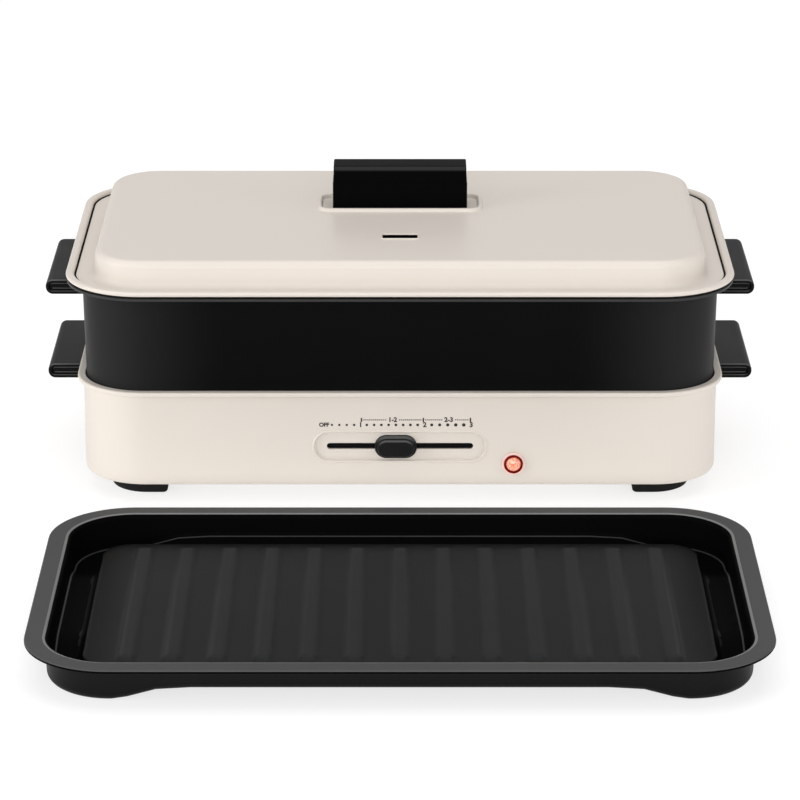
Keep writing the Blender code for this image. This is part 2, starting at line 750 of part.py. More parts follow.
def element_terminal(name, side):
    """Ceramic sleeve under the tray that holds one end of the element."""
    bore = ELEMENT_RADIUS + SEAT_GAP
    top = TRAY_UNDERSIDE - SEAT_GAP
    floor = top - TERMINAL_LENGTH
    middle = TRAY_UNDERSIDE - TERMINAL_LENGTH / 2 - SEAT_GAP
    profile = [(0, middle), (bore, middle), (bore, top), (TERMINAL_RADIUS, top),
               (TERMINAL_RADIUS, floor), (0, floor)]
    sleeve = turned(name, profile, CERAMIC)
    return in_stack(sleeve, x=ELEMENT_END_X, y=side * ELEMENT_LANE * 3 / 2)


# Slide control
def rack_outline():
    """Rack bar seen from above, its teeth to the back, in the carriage's own frame."""
    pitch = math.pi * GEAR_MODULE
    root = RACK_FRONT + RACK_BODY
    tip = root + (1 + DEDENDUM_SHARE) * GEAR_MODULE
    lean = math.tan(PRESSURE_ANGLE)
    half_tip = pitch / 4 - GEAR_MODULE * lean - TOOTH_SLACK
    half_root = pitch / 4 + DEDENDUM_SHARE * GEAR_MODULE * lean - TOOTH_SLACK
    half = RACK_LENGTH / 2
    count = int((half - pitch) / pitch)
    points = [(-half, RACK_FRONT), (half, RACK_FRONT), (half, root)]
    for index in range(count, -count - 1, -1):
        x = (index + 1 / 2) * pitch - SLIDE_REST_X
        if abs(x) + half_root > half:
            continue
        points += [(x + half_root, root), (x + half_tip, tip), (x - half_tip, tip),
                   (x - half_root, root)]
    return points + [(-half, root)]


def slide_carriage():
    """Rack bar behind the front wall, with the stem that comes out through the slot."""
    bar = as_mesh(extruded("slide_carriage", rack_outline(), RACK_HEIGHT), BLACK_PLASTIC)
    in_stack(bar, z=SLIDE_Z, x=SLIDE_REST_X)
    front = BASE_FRONT + PANEL_SINK - SLIDE_GAP - STEM_SOCKET_DEPTH
    back = RACK_FRONT + RACK_BODY / 2
    stem = box("slide_stem", (STEM_LENGTH, back - front, STEM_HEIGHT), (0, 0, 0))
    in_stack(stem, z=SLIDE_Z, x=SLIDE_REST_X, y=(front + back) / 2)
    return boolean(bar, stem, "UNION")


def slide_knob():
    """Two-tier knob with round ends, its socket sits on the stem."""
    outline = (KNOB_LENGTH, KNOB_HEIGHT, KNOB_HEIGHT / 2 * STADIUM_SHARE)
    step = (KNOB_HEIGHT - KNOB_PAD_HEIGHT) / 2
    stations = [(0, 0), (0, KNOB_BASE_THICKNESS - KNOB_ROUND)]
    stations += arc(-KNOB_ROUND, KNOB_BASE_THICKNESS - KNOB_ROUND, KNOB_ROUND, 0, 90, 2)[1:]
    stations += [(-step, KNOB_BASE_THICKNESS + KNOB_ROUND / 4)]
    stations += arc(-step - KNOB_ROUND, KNOB_THICKNESS - KNOB_ROUND, KNOB_ROUND, 0, 90, 2)
    knob = lofted("slide_knob", outline, stations, BLACK_PLASTIC)
    knob.rotation_euler = FACE_FRONT
    back = BASE_FRONT + PANEL_SINK - SLIDE_GAP
    in_stack(knob, z=SLIDE_Z, x=SLIDE_REST_X, y=back)
    size = (STEM_LENGTH + 2 * SEAT_GAP, 2 * (STEM_SOCKET_DEPTH + SEAT_GAP),
            STEM_HEIGHT + 2 * SEAT_GAP)
    socket = box("knob_socket", size, (0, 0, 0))
    in_stack(socket, z=SLIDE_Z, x=SLIDE_REST_X, y=back)
    return boolean(knob, socket, "DIFFERENCE")


def slide_rail():
    """Frame behind the front wall that the rack bar slides in."""
    travel = (SLIDE_SLOT_LENGTH - STEM_LENGTH) / 2
    inner_x = RACK_LENGTH + 2 * travel + 2 * SLIDE_GAP
    inner_z = RACK_HEIGHT + 2 * SLIDE_GAP
    size = (inner_x + 2 * RAIL_WALL, RAIL_DEPTH, inner_z + 2 * RAIL_WALL)
    middle = PANEL_BACK + SEAT_GAP + RAIL_DEPTH / 2
    frame = in_stack(box("slide_rail", size, (0, 0, 0), STEEL), z=SLIDE_Z, y=middle)
    window = box("rail_window", (inner_x, RAIL_DEPTH + 2 * OVERRUN, inner_z), (0, 0, 0))
    return boolean(frame, in_stack(window, z=SLIDE_Z, y=middle), "DIFFERENCE")


def involute(radius, base):
    """How far the flank has turned by the given radius."""
    angle = math.acos(min(1, base / radius))
    return math.tan(angle) - angle


def pinion_outline():
    """Involute teeth, one of them pointing to the rack."""
    base = PITCH_RADIUS * math.cos(PRESSURE_ANGLE)
    root = PITCH_RADIUS - DEDENDUM_SHARE * GEAR_MODULE
    tip = PITCH_RADIUS + GEAR_MODULE
    half = math.pi / 2 / PINION_TEETH - TOOTH_SLACK / PITCH_RADIUS
    at_base = half + involute(PITCH_RADIUS, base)
    radii = [base + (tip - base) * step / FLANK_STEPS for step in range(FLANK_STEPS + 1)]
    flank = [(root, at_base)] + [(r, at_base - involute(r, base)) for r in radii]
    points = []
    for tooth in range(PINION_TEETH):
        middle = -math.pi / 2 + tooth * WHOLE / PINION_TEETH
        for radius, half_angle in flank:
            points.append(polar(radius, middle - half_angle))
        for radius, half_angle in reversed(flank):
            points.append(polar(radius, middle + half_angle))
    return points


def polar(radius, angle):
    """A point in a plane."""
    return (radius * math.cos(angle), radius * math.sin(angle))


def thermostat_top():
    """Top of the thermostat's collar."""
    return SLIDE_Z - PINION_HEIGHT / 2 - THERMOSTAT_AIR


def thermostat_spindle():
    """Pinion with the shaft that turns in the thermostat."""
    pinion = as_mesh(extruded("thermostat_spindle", pinion_outline(), PINION_HEIGHT), BRASS)
    in_stack(pinion, z=SLIDE_Z, y=PINION_Y)
    low = thermostat_top() - SPINDLE_SEAT_DEPTH
    shaft = cylinder("spindle_shaft", SPINDLE_RADIUS, SLIDE_Z - low, (0, 0, 0))
    in_stack(shaft, z=(SLIDE_Z + low) / 2, y=PINION_Y)
    return boolean(pinion, shaft, "UNION")


def thermostat_body():
    """Thermostat on the bottom plate, its collar bored for the spindle."""
    low = PLATE_TOP + SEAT_GAP
    top = thermostat_top() - THERMOSTAT_COLLAR_HEIGHT
    size = (THERMOSTAT_WIDTH, THERMOSTAT_DEPTH, top - low)
    body = in_stack(box("thermostat_body", size, (0, 0, 0), CERAMIC), z=(low + top) / 2, y=PINION_Y)
    edges = body.modifiers.new("edges", "BEVEL")
    edges.width = THERMOSTAT_BEVEL
    edges.segments = 1
    height = THERMOSTAT_COLLAR_HEIGHT
    collar = cylinder("thermostat_collar", THERMOSTAT_COLLAR_RADIUS, 2 * height, (0, 0, 0))
    boolean(body, in_stack(collar, z=top, y=PINION_Y), "UNION")
    depth = SPINDLE_SEAT_DEPTH + SEAT_GAP
    bore = cylinder("thermostat_bore", SPINDLE_RADIUS + SEAT_GAP, 2 * depth, (0, 0, 0))
    return boolean(body, in_stack(bore, z=thermostat_top(), y=PINION_Y), "DIFFERENCE")


# Pilot lamp
def lamp_piece(name, profile, material, ring=True):
    """A turned piece of the pilot lamp, its own +Z to the front."""
    piece = turned(name, profile, material, ring)
    piece.rotation_euler = FACE_FRONT
    return in_stack(piece, z=LAMP_Z, x=LAMP_X, y=BASE_FRONT)


def pilot_lamp():
    """Bezel with its flange and stem, the lens in it and the nut behind the wall."""
    bore = LAMP_LENS_RADIUS + SEAT_GAP
    narrow = LAMP_BODY_RADIUS + SEAT_GAP
    flange = SEAT_GAP + LAMP_FLANGE_THICKNESS
    front = SEAT_GAP + LAMP_RING_HEIGHT
    back = -BASE_WALL - LAMP_STEM_LENGTH
    bezel = [(bore, front), (LAMP_RING_RADIUS - SEAT_GAP, front), (LAMP_RING_RADIUS, front - SEAT_GAP),
             (LAMP_RING_RADIUS, flange), (LAMP_FLANGE_RADIUS, flange), (LAMP_FLANGE_RADIUS, SEAT_GAP),
             (LAMP_STEM_RADIUS, SEAT_GAP), (LAMP_STEM_RADIUS, back), (narrow, back), (narrow, 0),
             (bore, 0)]
    lamp_piece("pilot_bezel", bezel, LAMP_RED)
    inner = LAMP_STEM_RADIUS + SEAT_GAP
    start = -BASE_WALL - SEAT_GAP
    nut = [(inner, start), (LAMP_NUT_RADIUS, start), (LAMP_NUT_RADIUS, start - LAMP_NUT_THICKNESS),
           (inner, start - LAMP_NUT_THICKNESS)]
    lamp_piece("pilot_nut", nut, BLACK_PLASTIC)
    crown = front + LAMP_LENS_RISE
    dome = [(0, crown), (LAMP_LENS_RADIUS * LENS_CROWN_SHARE, crown - LAMP_LENS_RISE / 4),
            (LAMP_LENS_RADIUS, front - LAMP_LENS_RISE / 2), (LAMP_LENS_RADIUS, SEAT_GAP),
            (LAMP_BODY_RADIUS, SEAT_GAP), (LAMP_BODY_RADIUS, crown - LAMP_LENS_LENGTH),
            (0, crown - LAMP_LENS_LENGTH)]
    lamp_piece("pilot_lens", dome, LAMP_ORANGE, ring=False)


# Power inlet
def inlet_housing():
    """Socket in the back wall with a flange outside and three pins inside."""
    outline = (INLET_WIDTH, INLET_HEIGHT, INLET_RADIUS)
    flange = INLET_FLANGE
    face = SEAT_GAP + INLET_FLANGE_THICKNESS
    stations = [(0, -INLET_DEPTH), (0, SEAT_GAP), (flange, SEAT_GAP), (flange, face),
                (-INLET_SHELL, face), (-INLET_SHELL, -INLET_DEPTH + INLET_SHELL)]
    housing = lofted("inlet_housing", outline, stations, BLACK_PLASTIC, steps=SMALL_CORNER_STEPS)
    housing.rotation_euler = (-math.pi / 2, 0, 0)
    in_stack(housing, z=INLET_Z, y=BASE_BACK)
    for index in range(3):
        hole = cylinder("pin_hole_%d" % index, PIN_RADIUS + SEAT_GAP, 2 * OVERRUN, (0, 0, 0),
                        turn=FACE_FRONT)
        in_stack(hole, z=INLET_Z, x=(index - 1) * PIN_PITCH, y=BASE_BACK - INLET_DEPTH)
        boolean(housing, hole, "DIFFERENCE")
    return housing


def inlet_pins():
    """Three round pins through the back of the inlet."""
    start = BASE_BACK - INLET_DEPTH - PIN_TAIL
    length = INLET_DEPTH + PIN_TAIL - PIN_RECESS
    for index, name in enumerate(("inlet_pin_live", "inlet_pin_earth", "inlet_pin_neutral")):
        pin = cylinder(name, PIN_RADIUS, length, (0, 0, 0), STEEL, FACE_FRONT)
        in_stack(pin, z=INLET_Z, x=(index - 1) * PIN_PITCH, y=start + length / 2)


# Wiring
def smooth_route(knots):
    """Points on a smooth curve through the knots, each span as long in its bends as its chord."""
    knots = [Vector(knot) for knot in knots]
    last = len(knots) - 1
    headings = [(knots[min(index + 1, last)] - knots[max(index - 1, 0)]).normalized()
                for index in range(last + 1)]
    route = []
    for index in range(last):
        chord = (knots[index + 1] - knots[index]).length
        for step in range(LEAD_STEPS):
            t = step / LEAD_STEPS
            leave = headings[index] * chord * (t - 2 * t * t + t * t * t)
            arrive = headings[index + 1] * chord * (t * t * t - t * t)
            route.append(knots[index].lerp(knots[index + 1], smooth_step(t)) + leave + arrive)
    return route + [knots[last]]


def leads():
    """Sleeved leads from the inlet by way of the thermostat and fuse to the element."""
    reach = 2 * SEAT_GAP
    run = PIN_TAIL
    pin_end = BASE_BACK - INLET_DEPTH - PIN_TAIL - reach
    body_back = PINION_Y + THERMOSTAT_DEPTH / 2 + reach
    mid_z = (PLATE_TOP + TRAY_UNDERSIDE) / 2
    low_z = PLATE_TOP + THERMOSTAT_DEPTH / 4
    lane = ELEMENT_LANE * 3 / 2
    terminal_x = ELEMENT_END_X - TERMINAL_RADIUS - reach
    terminal_z = TRAY_UNDERSIDE - TERMINAL_LENGTH * 3 / 4
    quarter = THERMOSTAT_WIDTH / 4
    fuse_y = FUSE_WIDTH
    fuse_z = TRAY_UNDERSIDE - SEAT_GAP - FUSE_HEIGHT / 2
    fuse_start = FUSE_X - FUSE_LENGTH / 2 - reach
    fuse_end = FUSE_X + FUSE_LENGTH / 2 + reach
    live = [(-PIN_PITCH, pin_end, INLET_Z), (-PIN_PITCH, pin_end - run, INLET_Z),
            (-PIN_PITCH * 2, pin_end / 2, mid_z), (-PIN_PITCH * 2, body_back / 2, low_z),
            (-quarter, body_back + run, low_z), (-quarter, body_back, low_z)]
    neutral = [(PIN_PITCH, pin_end, INLET_Z), (PIN_PITCH, pin_end - run, INLET_Z),
               (PIN_PITCH * 2, pin_end / 2, mid_z), (fuse_start - run, fuse_y, fuse_z),
               (fuse_start, fuse_y, fuse_z)]
    fused = [(fuse_end, fuse_y, fuse_z), (fuse_end + run, fuse_y, fuse_z),
             (terminal_x - 2 * run, lane, terminal_z), (terminal_x - run, lane, terminal_z),
             (terminal_x, lane, terminal_z)]
    switched = [(quarter, body_back, low_z), (quarter, body_back + run, low_z),
                (quarter * 4, body_back + 2 * run, mid_z), (terminal_x - 2 * run, -lane, terminal_z),
                (terminal_x - run, -lane, terminal_z), (terminal_x, -lane, terminal_z)]
    routes = (("lead_live", live), ("lead_neutral", neutral), ("lead_fused", fused),
              ("lead_switched", switched))
    for name, knots in routes:
        in_stack(tube(name, smooth_route(knots), LEAD_RADIUS, LEAD_WHITE))
    fuse = box("thermal_fuse", (FUSE_LENGTH, FUSE_WIDTH, FUSE_HEIGHT), (0, 0, 0), CERAMIC)
    in_stack(fuse, z=fuse_z, x=FUSE_X, y=fuse_y)
    edges = fuse.modifiers.new("edges", "BEVEL")
    edges.width = FUSE_HEIGHT / 6
    edges.segments = 1


# Side handles
def strap_outline(reach, thickness, skin):
    """Strap folded round a full-round tip, seen from the front, open towards the wall."""
    half = thickness / 2
    inner = half - skin
    tip = reach - half
    outer = arc_points((tip, 0), half, -90, 90, ROUND_END_STEPS)
    inside = arc_points((tip, 0), inner, 90, -90, ROUND_END_STEPS)
    return [(0, -half)] + outer + [(0, half), (0, inner)] + inside + [(0, -inner)]


def core_outline(reach, thickness, skin):
    """Core inside the strap, seen from the front."""
    half = thickness / 2 - skin - SEAT_GAP
    outer = arc_points((reach - thickness / 2, 0), half, -90, 90, ROUND_END_STEPS)
    return [(0, -half)] + outer + [(0, half)]


def side_handle(prefix, side, wall_x, height):
    """Strap and core of one side handle, against the wall that carries it."""
    start = wall_x + SEAT_GAP
    reach = BASE_WIDTH / 2 + HANDLE_REACH - start
    shapes = (("_strap", strap_outline, HANDLE_LENGTH),
              ("_core", core_outline, HANDLE_LENGTH - 2 * HANDLE_CORE_STEP))
    for suffix, outline, length in shapes:
        points = [(side * x, y) for x, y in outline(reach, HANDLE_THICKNESS, HANDLE_SKIN)]
        piece = extruded(prefix + suffix, points, length, BLACK_PLASTIC)
        piece.rotation_euler = FACE_FRONT
        in_stack(piece, z=height, x=side * start)


# Pot
def vessel_outline():
    """Outline of a vessel's wall at the height of the base's lip."""
    gap = BASE_WALL + VESSEL_SIDE_GAP
    return (BASE_WIDTH - 2 * gap, BASE_DEPTH - 2 * gap, BASE_RADIUS - gap)


def flange_offset():
    """From a vessel's wall at the lip to the edge of the shared flange."""
    return FLANGE_WIDTH / 2 - vessel_outline()[0] / 2


def pot_wall_offset(height):
    """How far the pot's tapered wall stands out at a height of the set."""
    return (height - BASE_TOP) * POT_DRAFT_SHARE


def pot_vessel():
    """Deep pot with a flange, tapered walls and corner feet on the tray's ledge."""
    floor = VESSEL_BOTTOM + FOOT_DROP
    top = POT_TOP
    under = top - POT_FLANGE_THICKNESS
    edge = flange_offset() - POT_FLANGE_INSET
    wall_low = pot_wall_offset(floor)
    wall_top = pot_wall_offset(under)
    turn = POT_OUTER_FILLET
    in_turn = POT_INNER_FILLET
    inner_low = wall_low - POT_WALL
    inner_top = wall_top - POT_WALL
    fade = wall_low - turn - FOOT_REACH - FOOT_FADE
    inner_floor = floor + POT_FLOOR
    stations = [(fade, floor), (wall_low - turn - FOOT_REACH, floor, 1)]
    stations += arc(wall_low - turn, floor + turn, turn, -90, 0, foot_share=1)
    stations += [(wall_low + (wall_top - wall_low) / 4, floor + turn + FOOT_DROP + in_turn)]
    stations += [(wall_top, under), (edge, under), (edge, top)]
    stations += arc(inner_top + POT_NECK_RADIUS, top - POT_NECK_RADIUS, POT_NECK_RADIUS, 90, 180, 2)
    stations += [(inner_low + (inner_top - inner_low) / 4, inner_floor + in_turn + FOOT_DROP)]
    stations += arc(inner_low - in_turn, inner_floor + in_turn, in_turn, 0, -90, foot_share=1)
    stations += [(wall_low - turn - FOOT_REACH, inner_floor, 1), (fade, inner_floor)]
    return in_stack(lofted("pot_vessel", vessel_outline(), stations, BLACK_COATING, feet=True))


# Griddle
def griddle_plate():
    """Cast griddle: wide rim, sloping wall, gutter, ribbed plateau and corner feet."""
    floor = FOOT_DROP
    top = GRIDDLE_HEIGHT
    under = top - GRIDDLE_FLANGE_THICKNESS
    edge = flange_offset()
    rounding = GRIDDLE_EDGE_ROUND
    wall_low = (floor - under) * GRIDDLE_DRAFT_SHARE
    turn = GRIDDLE_OUTER_FILLET
    in_turn = GRIDDLE_INNER_FILLET
    lip = GRIDDLE_LIP_RADIUS
    inner_top = -GRIDDLE_WALL
    gutter = floor + GRIDDLE_FLOOR
    inner_low = inner_top - (top - gutter) * GRIDDLE_DRAFT_SHARE
    gutter_edge = inner_low - in_turn - GUTTER_WIDTH
    plateau_edge = gutter_edge - PLATEAU_SLOPE
    fade = wall_low - turn - FOOT_REACH - FOOT_FADE
    stations = [(fade, floor), (wall_low - turn - FOOT_REACH, floor, 1)]
    stations += arc(wall_low - turn, floor + turn, turn, -90, 0, 3, foot_share=1)
    stations += [(0, under), (edge - rounding, under), (edge, under + rounding)]
    stations += [(edge, top - rounding), (edge - rounding, top)]
    stations += arc(inner_top + lip, top - lip, lip, 90, 180, 3)
    stations += arc(inner_low - in_turn, gutter + in_turn, in_turn, 0, -90, 3, foot_share=1)
    stations += [(gutter_edge, gutter, 1), (plateau_edge, gutter + PLATEAU_RISE)]
    plate = lofted("griddle_plate", vessel_outline(), stations, BLACK_COATING, feet=True)
    plate.location = (0, GRIDDLE_Y, 0)
    return boolean(plate, ribs(plateau_edge, gutter + PLATEAU_RISE), "UNION")


def ribs(plateau_edge, height):
    """Ridges from front to back on the plateau, as one cutter."""
    half = vessel_outline()[1] / 2 + plateau_edge - RIB_END_GAP
    slope = (RIB_WIDTH - RIB_CREST_WIDTH) / 2
    form = bmesh.new()
    for index in range(RIB_COUNT):
        x = (index - (RIB_COUNT - 1) / 2) * RIB_PITCH
        made = bmesh.ops.create_cube(form, size=1)
        for corner in made["verts"]:
            raised = corner.co.z > 0
            across = RIB_CREST_WIDTH if raised else RIB_WIDTH + slope
            along = half - slope if raised else half + slope / 2
            corner.co.x = x + across * corner.co.x
            corner.co.y = 2 * along * corner.co.y
            corner.co.z = height + (RIB_HEIGHT if raised else -RIB_HEIGHT / 2)
    new = mesh_object("griddle_ribs", form)
    new.location = (0, GRIDDLE_Y, 0)
    return new


# Lid
def lid_shell():
    """Pressed lid: rolled bead, cove, low dome, locating skirt and steam slot."""
    outline = (FLANGE_WIDTH, FLANGE_DEPTH, FLANGE_RADIUS)
    skin = LID_THICKNESS
    top = LID_HEIGHT
    dome = -LID_DOME_INSET
    turn = LID_DOME_ROUND
    in_turn = LID_DOME_ROUND - LID_THICKNESS
    ceiling = top - skin
    skirt = -flange_offset() + pot_wall_offset(POT_TOP) - POT_WALL - LID_SKIRT_GAP
    bead = LID_BEAD_WIDTH
    crown = LID_BEAD_LIFT + LID_BEAD_HEIGHT
    rolled = LID_BEAD_ROUND
    stations = [(dome - LID_DOME_DRAFT - turn, ceiling)]
    stations += arc(dome - LID_DOME_DRAFT - turn, top - turn, in_turn, 90, 0)[1:]
    stations += [(dome - skin, skin + LID_COVE), (dome - skin, 0), (skirt - skin, 0)]
    stations += [(skirt - skin, -LID_SKIRT_DEPTH), (skirt, -LID_SKIRT_DEPTH), (skirt, 0)]
    stations += [(-bead, 0), (-bead + LID_BEAD_LIFT, LID_BEAD_LIFT), (-rolled, LID_BEAD_LIFT)]
    stations += [(0, LID_BEAD_LIFT + rolled), (0, crown - rolled)]
    stations += [(-rolled / 3, crown - rolled / 3), (-rolled, crown), (-bead * 2 / 3, crown)]
    stations += [(-bead + rolled / 3, crown - rolled), (-bead - rolled / 3, skin)]
    stations += [(dome + LID_COVE, skin)]
    stations += arc(dome + LID_COVE, skin + LID_COVE, LID_COVE, -90, -180, 3)[1:]
    stations += arc(dome - LID_DOME_DRAFT - turn, top - turn, turn, 0, 90)
    shell = in_stack(lofted("lid_shell", outline, stations, CREAM), z=LID_SEAT)
    boolean(shell, surround(), "UNION")
    boolean(shell, surround_pocket(), "DIFFERENCE")
    slot = lofted("steam_slot", (STEAM_SLOT_LENGTH, STEAM_SLOT_WIDTH, STEAM_SLOT_RADIUS),
                  [(0, -OVERRUN), (0, OVERRUN)], steps=SMALL_CORNER_STEPS)
    return boolean(shell, in_stack(slot, z=LID_TOP, y=STEAM_SLOT_Y), "DIFFERENCE")


def surround():
    """Raised ring round the handle's pocket, thick enough to take the pocket."""
    outline = (SURROUND_LENGTH, SURROUND_DEPTH, SURROUND_RADIUS)
    low = -SURROUND_SINK - LID_THICKNESS
    rounding = SURROUND_RISE / 2
    stations = [(rounding / 2, low), (rounding / 2, -LID_THICKNESS / 2), (0, SURROUND_RISE - rounding)]
    stations += [(-rounding / 3, SURROUND_RISE - rounding / 3), (-rounding, SURROUND_RISE)]
    return in_stack(lofted("surround", outline, stations), z=LID_TOP, y=LID_HANDLE_Y)


def surround_pocket():
    """The pocket that the handle stands in."""
    outline = (SURROUND_LENGTH, SURROUND_DEPTH, SURROUND_RADIUS)
    inset = -SURROUND_WIDTH
    rounding = SURROUND_RISE / 2
    stations = [(inset - rounding, -SURROUND_SINK), (inset, rounding - SURROUND_SINK)]
    stations += [(inset, SURROUND_RISE - rounding), (inset + rounding, SURROUND_RISE + rounding)]
    return in_stack(lofted("surround_pocket", outline, stations), z=LID_TOP, y=LID_HANDLE_Y)


def lid_handle():
    """Cap folded over the front, top and back of a core that stands in the pocket."""
    foot_z = -SURROUND_SINK + SEAT_GAP
    half = LID_HANDLE_THICKNESS / 2
    top = LID_HANDLE_TOP
    turn = LID_HANDLE_ROUND
    skin = LID_HANDLE_SKIN
    side = top - (top - foot_z) * LID_HANDLE_SIDE_SHARE
    outer = arc_points((half - turn, top - turn), turn, 0, 90, ARC_STEPS)
    outer += arc_points((turn - half, top - turn), turn, 90, 180, ARC_STEPS)
    inner = arc_points((turn - half, top - turn), turn - skin, 180, 90, ARC_STEPS)
    inner += arc_points((half - turn, top - turn), turn - skin, 90, 0, ARC_STEPS)
    cap_points = [(half, side)] + outer + [(-half, side), (skin - half, side)]
    cap_points += inner + [(half - skin, side)]
    cap = extruded("lid_handle_cap", cap_points, LID_HANDLE_LENGTH, BLACK_PLASTIC)
    step = skin + SEAT_GAP
    shoulder = side - SEAT_GAP
    core_points = [(-half, foot_z), (half, foot_z), (half, shoulder), (half - step, shoulder)]
    core_points += arc_points((half - turn, top - turn), turn - step, 0, 90, ARC_STEPS)
    core_points += arc_points((turn - half, top - turn), turn - step, 90, 180, ARC_STEPS)
    core_points += [(step - half, shoulder), (-half, shoulder)]
    core_length = LID_HANDLE_LENGTH + 2 * LID_HANDLE_STEP
    core = extruded("lid_handle_core", core_points, core_length, BLACK_PLASTIC)
    for piece in (cap, core):
        piece.rotation_euler = (math.pi / 2, 0, math.pi / 2)
        in_stack(piece, z=LID_TOP, y=LID_HANDLE_Y)
    low = LID_TOP - SURROUND_SINK - LID_THICKNESS - SEAT_GAP - LID_PLATE_THICKNESS / 2
    size = (LID_PLATE_LENGTH, LID_PLATE_DEPTH, LID_PLATE_THICKNESS)
    plate = in_stack(box("lid_handle_plate", size, (0, 0, 0), STEEL), z=low, y=LID_HANDLE_Y)
    edges = plate.modifiers.new("edges", "BEVEL")
    edges.width = LID_PLATE_THICKNESS / 3
    edges.segments = 1


# The whole set
def build():
    """Model every piece of the set."""
    base_shell()
    bottom_plate()
    for name, sign_x, sign_y in (("foot_front_left", -1, -1), ("foot_front_right", 1, -1),
                                 ("foot_back_left", -1, 1), ("foot_back_right", 1, 1)):
        foot(name, sign_x, sign_y)
    heat_tray()
    heating_element()
    element_bracket("element_bracket_left", -BRACKET_X)
    element_bracket("element_bracket_right", BRACKET_X)
    element_terminal("element_terminal_front", -1)
    element_terminal("element_terminal_back", 1)
    slide_carriage()
    slide_knob()
    slide_rail()
    thermostat_spindle()
    thermostat_body()
    pilot_lamp()
    inlet_housing()
    inlet_pins()
    leads()
    pot_vessel()
    pot_wall = vessel_outline()[0] / 2 + pot_wall_offset(POT_HANDLE_Z + HANDLE_THICKNESS / 2)
    for side, word in ((-1, "left"), (1, "right")):
        side_handle("base_handle_" + word, side, BASE_WIDTH / 2, BASE_HANDLE_Z)
        side_handle("pot_handle_" + word, side, pot_wall, POT_HANDLE_Z)
    griddle_plate()
    lid_shell()
    lid_handle()


build()
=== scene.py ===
# %% [markdown]
# # A hot pot set with its griddle
#
# This lesson dresses a hot pot set: a heated base, a deep pot, a lid and a loose ribbed
# griddle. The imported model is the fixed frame. It says where every piece is and how it
# moves. The lesson makes finer pieces over it and gives every surface its finish.
# Lengths are in metres, +Z is up and the front of the set faces -Y.

# %% Load the frame
import itertools
import math

import bmesh
import bpy
from mathutils import Matrix, Vector


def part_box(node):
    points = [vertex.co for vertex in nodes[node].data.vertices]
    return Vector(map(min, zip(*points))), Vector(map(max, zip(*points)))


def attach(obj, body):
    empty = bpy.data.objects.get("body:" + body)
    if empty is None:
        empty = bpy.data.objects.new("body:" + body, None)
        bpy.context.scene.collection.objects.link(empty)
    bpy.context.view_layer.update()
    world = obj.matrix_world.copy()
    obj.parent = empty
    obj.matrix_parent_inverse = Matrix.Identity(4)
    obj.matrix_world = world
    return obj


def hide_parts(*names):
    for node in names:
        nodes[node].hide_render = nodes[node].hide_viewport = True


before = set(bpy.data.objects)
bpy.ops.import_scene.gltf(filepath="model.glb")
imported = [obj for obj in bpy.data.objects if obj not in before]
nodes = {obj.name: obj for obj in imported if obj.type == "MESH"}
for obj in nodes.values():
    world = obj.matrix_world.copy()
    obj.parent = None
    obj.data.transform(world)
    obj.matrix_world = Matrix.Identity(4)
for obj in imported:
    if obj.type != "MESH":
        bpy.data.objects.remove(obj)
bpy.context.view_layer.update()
print("pieces in the frame:", len(nodes))

# %% [markdown]
# ## Where things are
#
# The frame's own boxes give the places. Base, pot and lid stand on one upright axis, and
# the griddle stands in front of them.

# %% Read the places
def middle_of(name):
    """The middle of a node's box."""
    return [sum(values) / 2 for values in zip(*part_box(name))]


def half_depth_of(name):
    """Half the size of a node's box along Y."""
    low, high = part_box(name)
    return (high.y - low.y) / 2


stack = Vector((0, middle_of("lid_shell")[1], 0))
table = Vector((0, middle_of("griddle_plate")[1], 0))
print("axis of the stack", tuple(stack), "middle of the griddle", tuple(table))

# %% [markdown]
# ## The camera
#
# A product photograph of such a set is taken with a long lens from a little above. The
# camera stands 2.2 metres in front of the stack and looks down by 19 degrees, so the
# front of the base and the floor of the griddle both show.

# %% Set the camera
CAMERA_DISTANCE = 2.2
CAMERA_HEIGHT = 0.788
CAMERA_PITCH = 19.09
CAMERA_LENS = 166.3


def add_object(name, data):
    """Put a camera, a light or a mesh into the scene."""
    thing = bpy.data.objects.new(name, data)
    bpy.context.scene.collection.objects.link(thing)
    return thing


lens = bpy.data.cameras.new("camera")
lens.lens = CAMERA_LENS
lens.sensor_width = 36
lens.clip_start = 0.05
camera = add_object("camera", lens)
camera.location = (0, stack.y - CAMERA_DISTANCE, CAMERA_HEIGHT)
camera.rotation_euler = (math.radians(90 - CAMERA_PITCH), 0, 0)
bpy.context.scene.camera = camera
print("camera at", tuple(round(value, 3) for value in camera.location))

# %% [markdown]
# ## Building with shader nodes
#
# A finish is a small tree of nodes. These helpers add a node and fill its inputs, each
# with a value or a link. The last one starts a node group with named sockets, for an
# effect that several finishes share.

# %% Define the node helpers
def fill(node, inputs):
    """Fill a node's inputs with values or links."""
    for name, value in inputs.items():
        if isinstance(value, bpy.types.NodeSocket):
            node.id_data.links.new(value, node.inputs[name])
        else:
            node.inputs[name].default_value = value


def add_node(tree, kind, inputs, **properties):
    """Add a node, set its properties and fill its inputs."""
    node = tree.nodes.new("ShaderNode" + kind)
    for name, value in properties.items():
        setattr(node, name, value)
    fill(node, inputs)
    return node


def mix_colours(tree, mask, first, second):
    """Mix two colours by a mask."""
    return add_node(tree, "Mix", {"Factor": mask, "A": first, "B": second},
                    data_type="RGBA").outputs["Result"]


